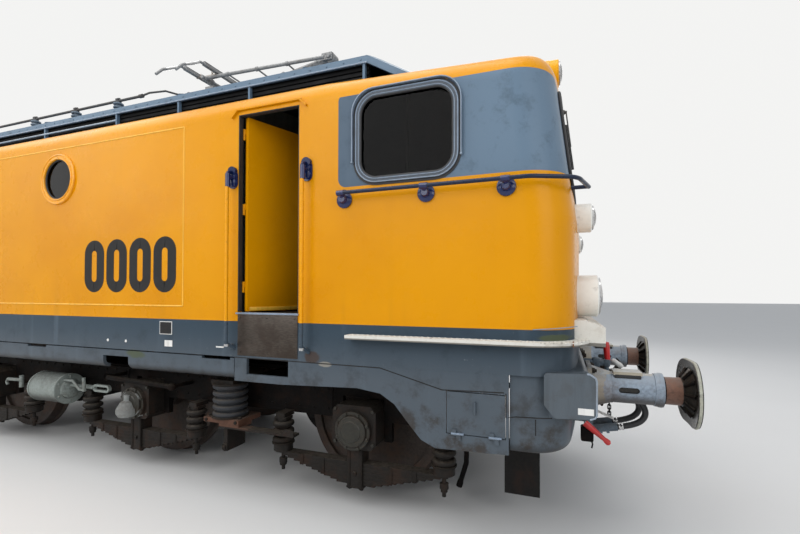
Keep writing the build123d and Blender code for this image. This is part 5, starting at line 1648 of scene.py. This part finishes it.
@dataclass
class RunningGear:
    """Bolts, straps, pipes and rods on the two bogies."""

    pivot: float = 4.6475
    pitch: float = 2.4225
    hanger: float = 0.72
    hanger_y: float = -1.155
    axle_z: float = 0.605 + RAIL
    bolt_circle: float = 0.139
    # The cap in the middle of an axlebox cover: distance out, radius
    cap_profile: tuple[Pair, ...] = (
        (0.0, 0.122), (0.006, 0.117), (0.01, 0.086), (0.016, 0.08), (0.02, 0.04), (0.021, 0.0),
    )
    beside: float = 1.19  # how far the brake cylinder and the large spring stand from the pivot
    outer_y: float = -1.23  # the y of their middles
    link_z: float = 0.335 + RAIL
    cylinder_z: float = 0.666 + RAIL
    rod_y: float = -1.3

    def build(self) -> None:
        """Makes the pieces of both bogies."""
        for end, way in (("a", END_A), ("b", END_B)):
            for build, name, finish in (
                (self.covers, "cover_bolts", "box_cover"), (self.straps, "spring_straps", "running_gear"),
                (self.hangers, "hanger_nuts", "running_gear"), (self.pipes, "brake_pipes", "underframe"),
                (self.cylinder, "cylinder_bands", "cylinder"), (self.sanders, "sand_pipes", "underframe"),
                (self.coils, "coil_seats", "running_gear"), (self.plate_bolts, "plate_bolts", "underframe"),
            ):
                maker = Maker()
                build(maker)
                maker.mirrored("y")
                if way == END_B:
                    maker.flipped("x")
                maker.piece(f"bogie_{end}_{name}", finish, f"bogie_{end}")

    def axles(self) -> list[float]:
        """The x of the three axles of the bogie at end a."""
        return [self.pivot + k * self.pitch for k in (-1, 0, 1)]

    def covers(self, maker: Maker) -> None:
        """Rings, bolts and caps on the axlebox covers.

        Args:
            maker: what the shapes are added to.
        """
        z = self.axle_z
        for x in self.axles():
            maker.lathe((x, -1.2645, z), OUT, [(0.0, 0.152), (0.004, 0.149), (0.004, 0.128)], 44)
            maker.lathe((x, -1.2825, z), OUT, self.cap_profile, 44)
            for px, pz in corner_arc((x, z), self.bolt_circle, 22.5, 337.5, 7):
                maker.lathe((px, -1.268, pz), OUT, [(0.0, 0.0155), (0.003, 0.0155)], 14)
                maker.bolt((px, -1.271, pz), OUT, 0.0125, 0.01)
            for dx in (-0.165, 0.165):
                for dz in (-0.1, 0.16):
                    maker.bolt((x + dx, -1.2345, z + dz), OUT, 0.014, 0.012)

    def straps(self, maker: Maker) -> None:
        """Straps, bolts and clips round the leaf springs.

        Args:
            maker: what the shapes are added to.
        """
        for x in self.axles():
            for dx in (-0.052, 0.052):
                maker.box((x + dx - 0.014, -1.2225, 0.135 + RAIL), (x + dx + 0.014, -1.2165, 0.445 + RAIL),
                          0.002)
                for y in (-1.195, -1.115):
                    maker.bolt((x + dx, y, 0.1425 + RAIL), DOWN, 0.018, 0.02)
            maker.box((x - 0.075, -1.2215, 0.138 + RAIL), (x + 0.075, -1.089, 0.15 + RAIL), 0.004)
            maker.bolt((x, -1.2165, 0.255 + RAIL), OUT, 0.02, 0.014)
            for side in (-1, 1):
                for reach in (0.3, 0.5):
                    low = 0.162 + 0.016 * 11 - 0.016 * (1 + int((0.76 - reach) / 0.0591)) + RAIL
                    maker.box((x + side * reach - 0.018, -1.2095, low - 0.006),
                              (x + side * reach + 0.018, -1.2055, 0.343 + RAIL), 0.001)

    def hangers(self, maker: Maker) -> None:
        """Nuts, bar ends and seats above and below the end springs.

        Args:
            maker: what the shapes are added to.
        """
        for x in self.axles():
            for side in (-1, 1):
                at = x + side * self.hanger
                maker.bolt((at, self.hanger_y, 0.2265 + RAIL), DOWN, 0.03, 0.026)
                maker.rod((at, self.hanger_y, 0.205 + RAIL), (at, self.hanger_y, 0.165 + RAIL), 0.0155, 12)
                maker.bolt((at, self.hanger_y, 0.6395 + RAIL), UP, 0.028, 0.022)
                maker.lathe((at, self.hanger_y, 0.398 + RAIL), UP, collar(0.0, 0.012, 0.085, 0.096), 28)
                for dx in (-0.042, 0.042):
                    maker.bolt((at + dx, -1.2045, 0.612 + RAIL), OUT, 0.011, 0.009)

    def pipes(self, maker: Maker) -> None:
        """Air pipes along the side plate.

        Args:
            maker: what the shapes are added to.
        """
        y, top = -1.078, 0.905 + RAIL
        start, stop = self.pivot - 3.05, self.pivot + 3.05
        maker.tube([(start, y, top), (start + 0.6, y, top), (stop - 0.6, y, top), (stop, y, top)], 0.013, 10)
        for k in range(9):
            x = start + 0.15 + k * (stop - start - 0.3) / 8
            maker.box((x - 0.012, y - 0.018, top - 0.018), (x + 0.012, -1.059, top + 0.018), 0.002)
        for x in self.axles():
            drop = [(x - 0.27, y, top), (x - 0.27, y - 0.02, top - 0.04), (x - 0.27, y - 0.02, 0.7),
                    (x - 0.25, -1.05, 0.66)]
            maker.tube(drop, 0.009, 8)

    def cylinder(self, maker: Maker) -> None:
        """Bands, bolts and cap of the brake cylinder, with its rods and their forks.

        Args:
            maker: what the shapes are added to.
        """
        x, y, z = self.pivot - self.beside, self.outer_y, self.cylinder_z
        for dx in (-0.223, 0.2):
            maker.lathe((x + dx, y, z), AHEAD, collar(0.0, 0.02, 0.154, 0.161), 40)
        fork = (x - 0.2255 - 0.4, y, z + 0.03)
        maker.tube([(fork[0] - 0.235, y, z + 0.025), fork, (fork[0] + 0.012, y, z + 0.028)], 0.019, 10)
        maker.tube([(fork[0] + 0.012, y, z - 0.05), (fork[0] + 0.012, y, z + 0.085)], 0.022, 10)
        maker.tube([(fork[0] - 0.235, y, z + 0.03), (fork[0] - 0.262, y, z - 0.01),
                    (fork[0] - 0.24, y, z - 0.04)], 0.015, 10)
        maker.tube([(x + 0.225, -1.29, z + 0.1), (x + 0.37, self.rod_y, z + 0.105),
                    (x + 0.48, self.rod_y, z + 0.022), (x + 0.56, self.rod_y, z + 0.022)],
                   0.014, 10)
        maker.tube([(x + 0.548, self.rod_y, z + 0.01), (x + 0.54, self.rod_y, z + 0.15)], 0.016, 10)
        for py, pz in corner_arc((y, z), 0.132, 30, 330, 5):
            maker.bolt((x - 0.2255, py, pz), (-1, 0, 0), 0.013, 0.012)
            maker.bolt((x + 0.2245, py, pz), AHEAD, 0.013, 0.012)
        maker.lathe((x + 0.224, y, z), AHEAD, [(0.0, 0.105), (0.012, 0.098), (0.026, 0.06), (0.03, 0.03)],
                    32)

    def sanders(self, maker: Maker) -> None:
        """Sand pipes down to the rail in front of the outer wheels.

        Args:
            maker: what the shapes are added to.
        """
        for x, lean in ((self.pivot + self.pitch + 0.83, -1), (self.pivot - self.pitch - 0.83, 1)):
            points = [(x, -0.95, 0.62), (x, -0.86, 0.5), (x + lean * 0.02, -0.77, 0.32),
                      (x + lean * 0.075, -0.755, 0.145)]
            maker.tube(points, 0.021, 12)
            maker.lathe(points[-1], (lean * 0.3, 0.0, -1.0), [(-0.02, 0.0215), (0.0, 0.026), (0.035, 0.026)],
                        14)
            maker.box((x - 0.03, -1.012, 0.585), (x + 0.03, -0.93, 0.655), 0.006)

    def coils(self, maker: Maker) -> None:
        """Seat rings and cap bolts of the large springs.

        Args:
            maker: what the shapes are added to.
        """
        x, y = self.pivot + self.beside, self.outer_y
        for z in (0.6, 0.888):
            maker.lathe((x, y, z + RAIL), UP, collar(0.0, 0.012, 0.11, 0.157), 40)
        maker.bolt((x, y, 0.9295 + RAIL), UP, 0.04, 0.022)
        for dx in (-0.16, 0.16):
            maker.bolt((x + dx, -1.3, 0.5995 + RAIL), UP, 0.018, 0.016)
            maker.bolt((x + dx, -1.3495, 0.58 + RAIL), OUT, 0.016, 0.012)
        maker.rod((x, -1.291, self.link_z), (x, -1.305, self.link_z), 0.034, 18)
        maker.bolt((x, -1.304, self.link_z), OUT, 0.02, 0.014)

    def plate_bolts(self, maker: Maker) -> None:
        """Rows of rivets on the side plates.

        Args:
            maker: what the shapes are added to.
        """
        for k in range(44):
            x = self.pivot - 3.1 + k * 6.2 / 43
            for z in (0.7, 0.87):
                near_box = any(abs(x - axle) < 0.3 for axle in self.axles())
                if not near_box:
                    maker.lathe(
                        (x, -1.0595, z + RAIL), OUT, [(0.0, 0.014), (0.005, 0.012), (0.008, 0.005)], 8,
                    )


@dataclass
class RoofDress:
    """Edges, bolts, lids and cable clamps of the roof cover and the line above it."""

    eave_y: float = 1.265
    top_z: float = 3.58
    rise: float = 0.27
    half: float = 7.19
    edge_z: float = 3.523 + RAIL
    rivet_z: float = 3.553 + RAIL
    gap_z: float = 3.455 + RAIL
    line_y: float = -0.75

    def cover_z(self, y: float) -> float:
        """The top of the cover at a distance from the centre line."""
        arc = (self.eave_y**2 + self.rise**2) / (2 * self.rise)
        return self.top_z + self.rise - arc + math.sqrt(arc**2 - y**2) + RAIL

    def build(self) -> None:
        """Makes the pieces on the roof."""
        self.edges()
        self.lids()
        self.line()

    def edges(self) -> None:
        """The bright bottom edge of the cover, a rod along the gap and the seams across the skin."""
        edge = Maker()
        edge.tube([(x, -self.eave_y - 0.001, self.edge_z) for x in (-self.half, self.half)], 0.007, 8)
        edge.copies("y", "cover_edges", "bead")
        rod = Maker()
        rod.tube([(x, -self.eave_y + 0.003, self.gap_z) for x in (-4.375, 4.375)], 0.0085, 8)
        rod.copies("y", "gap_rods", "rod_light")
        seams = Maker()
        for x in (0.44, 2.11, 3.245, 5.211, 6.6):
            line = []
            for k in range(25):
                y = -self.eave_y + 0.004 + k * (2 * self.eave_y - 0.008) / 24
                line.append((x, y, self.cover_z(y) + 0.001))
            seams.tube(line, 0.006, 6, flat=2.4)
        for k in range(46):
            x = 0.16 + k * 0.155
            for side in (-1, 1):
                spot = (x, side * (self.eave_y - 0.0005), self.rivet_z)
                seams.lathe(spot, (0, side, 0), [(0.0, 0.009), (0.004, 0.007), (0.005, 0.003)], 7)
        seams.copies("x", "cover_seams", "grey")

    def lids(self) -> None:
        """Low access lids with handles between the pantographs."""
        lids = Maker()
        for x in (0.75, 2.55):
            top = self.cover_z(0.0)
            lids.box((x - 0.42, -0.36, top - 0.03), (x + 0.42, 0.36, top + 0.014), 0.008)
            for side in (-0.24, 0.24):
                bow = ((-0.06, 0.01), (-0.06, 0.045), (0.06, 0.045), (0.06, 0.01))
                lids.tube([(x + side + dx, 0, top + up) for dx, up in bow], 0.007, 8)
            for dx in (-0.38, 0.0, 0.38):
                for dy in (-0.32, 0.32):
                    lids.bolt((x + dx, dy, top + 0.0135), UP, 0.012, 0.008)
        lids.copies("x", "roof_lids", "grey")

    def line(self) -> None:
        """Clamps and feet of the roof line, with its flexible ends to the pantographs."""
        clamps = Maker()
        for x in (1.0, 2.166, 2.958, 3.703):
            z = 3.975 + RAIL
            clamps.lathe((x, self.line_y, z - 0.028), UP,
                         [(0.0, 0.034), (0.006, 0.034), (0.01, 0.024), (0.05, 0.024)], 16)
            clamps.box((x - 0.026, -0.776, z + 0.004), (x + 0.026, -0.724, z + 0.026), 0.004)
            for dx in (-0.015, 0.015):
                clamps.bolt((x + dx, self.line_y, z + 0.0255), UP, 0.009, 0.008)
        end = 4.08
        clamps.tube([(end - 0.01, self.line_y, 4.005), (end + 0.1, -0.73, 4.035), (end + 0.22, -0.62, 4.085),
                     (4.37, -0.44, 4.095)], 0.011, 8)
        clamps.lathe((end - 0.03, self.line_y, 4.005), AHEAD,
                     [(0.0, 0.0155), (0.0, 0.022), (0.05, 0.022), (0.05, 0.012)], 14)
        clamps.copies("x", "roof_line_clamps", "roof_copper")


@dataclass
class PantographDress:
    """Carbon strips, springs, straps and rods of the two pantographs."""

    pivot: Pair = (4.62, 4.15 + RAIL)
    knee: Pair = (6.155, 4.3986 + RAIL)
    head: Pair = (4.6037, 4.2901 + RAIL)
    pan_z: float = 4.352 + RAIL
    pan_half: float = 0.145

    def build(self) -> None:
        """Makes the pieces of both pantographs."""
        for end, way in (("a", END_A), ("b", END_B)):
            for build, name, finish, body in (
                (self.strips, "strips", "carbon", "head"), (self.horn_tips, "horn_tips", "chrome", "head"),
                (self.springs, "head_springs", "steel", "head"),
                (self.lower, "lower_straps", "pantograph", "lower"),
                (self.upper, "upper_straps", "pantograph", "upper"),
                (self.base, "base_fittings", "pantograph", ""),
            ):
                maker = Maker()
                build(maker)
                if way == END_B:
                    maker.flipped("x")
                rides = f"pantograph_{end}_{body}" if body else ROOT
                maker.piece(f"pantograph_{end}_{name}", finish, rides)

    def strips(self, maker: Maker) -> None:
        """The carbon strips that touch the wire.

        Args:
            maker: what the shapes are added to.
        """
        for dx in (-self.pan_half, self.pan_half):
            x, z = self.head[0] + dx, self.pan_z + 0.0195
            maker.box((x - 0.016, -0.496, z), (x + 0.016, 0.496, z + 0.014), 0.004)

    def horn_tips(self, maker: Maker) -> None:
        """Bright wear sleeves on the horns.

        Args:
            maker: what the shapes are added to.
        """
        for dx in (-self.pan_half, self.pan_half):
            x = self.head[0] + dx
            for side in (-1, 1):
                points = [(x, side * 0.575, 4.336 + RAIL), (x, side * 0.66, 4.279 + RAIL),
                          (x, side * 0.76, 4.2165 + RAIL)]
                maker.tube(points, 0.0172, 12)

    def springs(self, maker: Maker) -> None:
        """The small springs and links that hold the pans level.

        Args:
            maker: what the shapes are added to.
        """
        for y in (-0.31, 0.31):
            for x in (self.head[0] - 0.09, self.head[0] + 0.09):
                points = []
                for k in range(33):
                    turn = math.pi * k / 4
                    dx, dy = 0.011 * math.cos(turn), 0.011 * math.sin(turn)
                    points.append((x + dx, y + dy, self.pan_z - 0.028 + 0.0012 * k))
                maker.tube(points, 0.0025, 5)
            maker.box((self.head[0] - 0.15, y - 0.01, self.pan_z - 0.034),
                      (self.head[0] + 0.15, y + 0.01, self.pan_z - 0.026))

    def along(self, start: Pair, stop: Pair, share: float) -> Pair:
        """A point between two others, in x and z."""
        return (start[0] + (stop[0] - start[0]) * share, start[1] + (stop[1] - start[1]) * share)

    def lower(self, maker: Maker) -> None:
        """Collars, gussets and the cable along the lower arm.

        Args:
            maker: what the shapes are added to.
        """
        direction = (self.knee[0] - self.pivot[0], 0.0, self.knee[1] - self.pivot[1])
        for share in (0.1, 0.35, 0.6, 0.88):
            x, z = self.along(self.pivot, self.knee, share)
            maker.lathe((x, 0.0, z), direction, collar(-0.016, 0.016, 0.0448, 0.051), 24)
        points = []
        for share in (0.04, 0.3, 0.62, 0.93):
            x, z = self.along(self.pivot, self.knee, share)
            points.append((x, 0.056, z + 0.014))
        maker.tube(points, 0.009, 8)
        for y in (-0.285, 0.285):
            maker.lathe((self.pivot[0], y, self.pivot[1]), (0, 1, 0), collar(-0.012, 0.012, 0.0345, 0.05),
                        24)
        x, z = self.pivot
        for y in (-0.13, 0.13):
            maker.tube([(x, y, z + 0.02), (x + 0.2, y * 0.2, z + 0.052)], 0.012, 8)

    def upper(self, maker: Maker) -> None:
        """Cross braces and collars of the upper arm.

        Args:
            maker: what the shapes are added to.
        """
        for share in (0.3, 0.55, 0.8):
            x, z = self.along((self.knee[0] - 0.06, self.knee[1] - 0.004), self.head, share)
            y = 0.076 + (0.33 - 0.076) * share
            maker.rod((x, -y, z), (x, y, z), 0.01, 10)
            for side in (-1, 1):
                toward = (self.head[0] - self.knee[0], side * 0.254, self.head[1] - self.knee[1])
                maker.lathe((x, side * y, z), toward, collar(-0.014, 0.014, 0.0198, 0.026), 16)
        for side in (-1, 1):
            maker.bolt((self.knee[0], side * 0.0845, self.knee[1]), (0, side, 0), 0.03, 0.016)

    def base(self, maker: Maker) -> None:
        """Bolts and the lifting springs on the base frame.

        Args:
            maker: what the shapes are added to.
        """
        for x in (4.45, 5.8):
            for y in (-0.42, 0.42):
                maker.bolt((x, y, 4.0795 + RAIL), UP, 0.026, 0.02)
                maker.lathe((x, y, 3.995 + RAIL), UP, [(0.0, 0.045), (0.006, 0.05), (0.034, 0.05)], 20)
        for y in (-0.16, 0.16):
            points = []
            for k in range(145):
                turn = math.pi * k / 4
                dy, dz = 0.026 * math.cos(turn), 0.026 * math.sin(turn)
                points.append((4.7 + 0.0034 * k, y + dy, 4.1 + RAIL + dz))
            maker.tube(points, 0.0045, 5)
            maker.rod((5.18, y, 4.1 + RAIL), (5.44, y, 4.072 + RAIL), 0.01, 10)
            maker.box((5.42, y - 0.03, 4.03 + RAIL), (5.46, y + 0.03, 4.085 + RAIL), 0.004)
        maker.box((5.41, -0.392, 4.032 + RAIL), (5.47, 0.392, 4.062 + RAIL), 0.004)


@dataclass
class CabInterior:
    """Desk panels, gauges, handles and seat cushions behind the glass."""

    seat_x: float = 7.45
    seat_y: float = 0.62
    seam: float = 0.68
    # A cushion's side: share of the thickness, inset from the outline
    crown: tuple[Pair, ...] = (
        (0.0, 0.016), (0.05, 0.006), (0.2, 0.0015), (0.4, 0.0), (0.6, 0.003), (0.68, 0.006),
        (0.74, 0.005), (0.84, 0.012), (0.92, 0.032), (0.97, 0.065), (0.99, 0.1), (1.0, 0.13),
    )

    def build(self) -> None:
        """Makes the pieces in both cabs."""
        panels, gauges, faces, knobs = Maker(), Maker(), Maker(), Maker()
        slope = Vector((0.45, 0.0, 0.13)).normalized()
        up = Vector((-slope.z, 0.0, slope.x))
        for y in (-0.78, -0.26, 0.26, 0.78):
            centre = Vector((8.225, y, 2.365 + RAIL))
            for k in range(3):
                spot = centre + Vector((0, (k - 1) * 0.15, 0))
                gauges.lathe(spot - up * 0.004, up,
                             [(0.0, 0.058), (0.016, 0.058), (0.02, 0.052), (0.012, 0.05)], 24)
                faces.lathe(spot + up * 0.008, up, [(0.0, 0.05), (0.002, 0.05)], 24)
        for y in (-0.72, 0.05, 0.6):
            panels.box((8.02, y - 0.17, 2.296 + RAIL), (8.12, y + 0.17, 2.314 + RAIL), 0.004)
            for k in range(5):
                knobs.lathe((8.07, y - 0.12 + 0.06 * k, 2.312 + RAIL), UP,
                            [(0.0, 0.014), (0.014, 0.013), (0.018, 0.008)], 12)
        knobs.lathe((8.09, -0.4, 2.33), UP,
                    [(0.0, 0.06), (0.03, 0.055), (0.045, 0.03), (0.11, 0.018), (0.12, 0.026), (0.145, 0.02)],
                    20)
        knobs.tube([(8.09, 0.36, 2.32), (8.08, 0.36, 2.42), (8.06, 0.36, 2.47)], 0.014, 10)
        knobs.lathe((8.06, 0.36, 2.46), UP, [(0.0, 0.02), (0.012, 0.028), (0.034, 0.028), (0.046, 0.012)],
                    14)
        place_all("x", (panels, "desk_panels", "cab_dark"), (gauges, "gauge_rims", "steel"),
                  (faces, "gauge_faces", "white_paint"), (knobs, "desk_controls", "black_paint"))
        for end, way in (("a", END_A), ("b", END_B)):
            for side, y in (("near", -self.seat_y), ("far", self.seat_y)):
                self.seat(f"seat_{end}_{side}", way, y)
        self.cushions()

    def cushions(self) -> None:
        """The upholstered seats and backs of all four seats, with piping along their seams."""
        pads, piping = Maker(), Maker()
        x, y = self.seat_x, self.seat_y
        for low, high, base, top, upright in (
            ((x - 0.21, -y - 0.205), (x + 0.21, -y + 0.205), 1.9755 + RAIL, 2.0745 + RAIL, False),
            ((-y - 0.185, 2.11 + RAIL), (-y + 0.185, 2.41 + RAIL), x - 0.2445, x - 0.1655, True),
        ):
            rings = []
            for share, inset in self.crown:
                level = base + share * (top - base)
                loop = rounded_loop(
                    (low[0] + inset, low[1] + inset), (high[0] - inset, high[1] - inset), 0.04,
                )
                spots = [(level, a, b) if upright else (a, b, level) for a, b in loop]
                rings.append([pads.mesh.verts.new(spot) for spot in spots])
                if share == self.seam:
                    piping.tube(spots, 0.0035, 6, True)
            pads.skin(rings, False)
        for maker, name, finish in ((pads, "seat_cushions", "cloth"), (piping, "seat_piping", "rubber")):
            maker.mirrored("xy")
            thing = maker.piece(name, finish, sharp=60.0)
            if maker is pads:
                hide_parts("seat_pads")

    def seat(self, name: str, way: int, y: float) -> None:
        """The armrests of one seat.

        Args:
            name: the start of the piece's name.
            way: 1 at end a and -1 at end b.
            y: the seat's distance from the centre line.
        """
        maker = Maker()
        x, z = self.seat_x, 2.03 + RAIL
        for side in (-1, 1):
            arm = ((-0.235, 0.2), (0.05, 0.21), (0.12, 0.2))
            maker.tube([(x + dx, y + side * 0.225, z + up) for dx, up in arm], 0.022, 10)
            maker.rod((x - 0.25, y + side * 0.19, z + 0.19), (x - 0.25, y + side * 0.23, z + 0.19), 0.02, 12)
        if way == END_B:
            maker.flipped("x")
        maker.piece(name + "_arms", "cab_dark")


@dataclass
class BrakeHoses:
    """The four brake hoses at the buffer beams, each a loop from its cock to its holder."""

    diameter: float = 0.044
    route: tuple[Pair, ...] = (
        (8.85, 0.95), (8.95, 0.95), (9.06, 0.944), (9.16, 0.9), (9.19, 0.8), (9.11, 0.722), (8.99, 0.7),
    )
    places: tuple[tuple[str, float, float, float], ...] = (
        ("high", -0.575, 0.0, 0.0), ("low", -0.655, 0.03, -0.02)
    )

    def build(self) -> None:
        for name, y, dx, dz in self.places:
            for end, way in (("a", END_A), ("b", END_B)):
                self.hose(f"hose_{end}_{name}", way, y, dx, dz)

    def hose(self, node: str, way: int, y: float, dx: float, dz: float) -> None:
        """One hose, as a smooth line through the points of its route.

        Args:
            node: the CAD node that it stands for.
            way: 1 at end a and -1 at end b.
            y: its distance from the centre line at end a.
            dx: how far its loop is set out along the body.
            dz: how far it is set down.
        """
        points = [(x + dx, y, z + dz + RAIL) for x, z in self.route]
        points[0] = (self.route[0][0], y, points[0][2])
        points = [(way * px, way * py, pz) for px, py, pz in points]
        curve = bpy.data.curves.new(node + "_line", "CURVE")
        curve.dimensions = "3D"
        spline = curve.splines.new("NURBS")
        spline.points.add(len(points) - 1)
        for knot, point in zip(spline.points, points):
            knot.co = (*point, 1.0)
        spline.order_u = 3
        spline.use_endpoint_u = True
        spline.resolution_u = 12
        curve.resolution_u = 12
        curve.bevel_depth = self.diameter / 2
        curve.bevel_resolution = 5
        curve.use_fill_caps = True
        curve.materials.append(material("hose"))
        thing = bpy.data.objects.new(node + "_rubber", curve)
        bpy.context.scene.collection.objects.link(thing)
        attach(thing, ROOT)
        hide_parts(node)


@dataclass
class Studio:
    """The floor, lights and camera."""

    eye: Point = (8.612, -4.316, 1.697 + RAIL)
    pitch: float = 0.85
    yaw: float = 20.48
    roll: float = 0.12
    lens: float = 19.26
    sensor: float = 36.0
    rise: float = 0.0248
    floor_colour: RGB = (0.7, 0.69, 0.67)
    sky_light: RGB = (0.8, 0.86, 0.95)
    sky_strength: float = 0.56
    sky_seen: RGB = (0.9, 0.9, 0.89)
    floor_reach: float = 90.0
    # Lamps: the name, the place, what the lamp faces, its width and its power in watts
    lamps: tuple[tuple[str, Point, Point, float, float], ...] = (
        ("key_light", (3.5, -10.0, 7.5), (4.5, 0.0, 2.0), 7.0, 450.0),
        ("fill_light", (15.5, -7.5, 5.5), (8.5, 0.0, 1.5), 6.0, 270.0),
        ("top_light", (5.0, -2.5, 11.0), (6.0, -1.0, 2.0), 9.0, 620.0),
        ("rear_top_light", (-6.5, -2.5, 11.0), (-7.0, -1.0, 2.0), 9.0, 500.0),
        ("rear_key_light", (-8.5, -10.5, 7.5), (-7.0, 0.0, 2.0), 7.0, 330.0),
        ("rear_fill_light", (-15.5, 6.5, 5.5), (-8.5, 0.0, 1.5), 6.0, 300.0),
        ("far_light", (5.0, 10.5, 8.0), (4.0, 0.0, 2.5), 8.0, 460.0),
        ("far_rear_light", (-5.5, 10.5, 8.0), (-4.0, 0.0, 2.5), 8.0, 460.0),
    )

    def build(self) -> None:
        """Makes the whole studio."""
        self.floor()
        self.sky()
        for name, place, target, size, power in self.lamps:
            self.lamp(name, place, target, size, power)
        self.camera()

    def floor(self) -> None:
        """A plain pale floor."""
        data = bpy.data.meshes.new("floor")
        square = ((-1, -1), (1, -1), (1, 1), (-1, 1))
        corners = [(x * self.floor_reach, y * self.floor_reach, 0) for x, y in square]
        data.from_pydata(corners, [], [(0, 1, 2, 3)])
        nodes = Nodes("floor_paint")
        soft = nodes.noise(0.7, 3.0)
        colour = nodes.mix(soft, self.floor_colour, shade(self.floor_colour, 0.96))
        data.materials.append(nodes.dress(colour, 0.75))
        floor = bpy.data.objects.new("floor", data)
        bpy.context.scene.collection.objects.link(floor)

    def sky(self) -> None:
        """A pale surround that lights the object softly and shows white to the camera."""
        world = bpy.data.worlds.new("surround")
        world.use_nodes = True
        bpy.context.scene.world = world
        tree = world.node_tree
        light = tree.nodes["Background"]
        light.inputs["Color"].default_value = (*self.sky_light, 1.0)
        light.inputs["Strength"].default_value = self.sky_strength
        seen = tree.nodes.new("ShaderNodeBackground")
        seen.inputs["Color"].default_value = (*self.sky_seen, 1.0)
        path = tree.nodes.new("ShaderNodeLightPath")
        both = tree.nodes.new("ShaderNodeMixShader")
        seen_by = path.outputs["Is Camera Ray"]
        for kind in ("Is Glossy Ray", "Is Transmission Ray"):
            either = tree.nodes.new("ShaderNodeMath")
            either.operation = "MAXIMUM"
            tree.links.new(seen_by, either.inputs[0])
            tree.links.new(path.outputs[kind], either.inputs[1])
            seen_by = either.outputs[0]
        for socket, place in zip((seen_by, light.outputs[0], seen.outputs[0]), both.inputs):
            tree.links.new(socket, place)
        tree.links.new(both.outputs[0], tree.nodes["World Output"].inputs["Surface"])

    def lamp(self, name: str, place: Point, target: Point, size: float, power: float) -> None:
        """One large soft lamp that faces its target.

        Args:
            name: its name.
            place: where it stands.
            target: what it points at.
            size: the side of its square.
            power: its power in watts.
        """
        data = bpy.data.lights.new(name, "AREA")
        data.size = size
        data.energy = power
        thing = bpy.data.objects.new(name, data)
        thing.location = place
        thing.rotation_euler = (Vector(target) - Vector(place)).to_track_quat("-Z", "Y").to_euler()
        bpy.context.scene.collection.objects.link(thing)

    def camera(self) -> None:
        """The camera of the photograph."""
        data = bpy.data.cameras.new("camera")
        data.sensor_width = self.sensor
        data.lens = self.lens
        data.shift_y = self.rise
        data.clip_end = 300.0
        thing = bpy.data.objects.new("camera", data)
        turn = Matrix.Rotation(math.radians(self.yaw), 4, "Z") @ Matrix.Rotation(
            math.radians(90 + self.pitch), 4, "X",
        )
        thing.matrix_world = Matrix.Translation(self.eye) @ turn @ Matrix.Rotation(
            math.radians(self.roll), 4, "Z",
        )
        bpy.context.scene.collection.objects.link(thing)
        bpy.context.scene.camera = thing


def main() -> None:
    """Builds the locomotive's looks round its frame, one sub-assembly after another."""
    logging.basicConfig(level=logging.INFO, format="%(message)s")
    scene = bpy.context.scene
    scene.view_settings.view_transform = "Standard"
    Studio().build()
    for assembly in (
        CabWindows(), Portholes(), Windscreens(), Grips(), LampGlass(), NoseStep(), Skirts(),
        Doorways(), SideSeams(), BufferDress(), EndFittings(), RunningGear(), RoofDress(),
        PantographDress(), CabInterior(), BrakeHoses(),
    ):
        assembly.build()
    dress_frame()


if __name__ == "__main__":
    main()
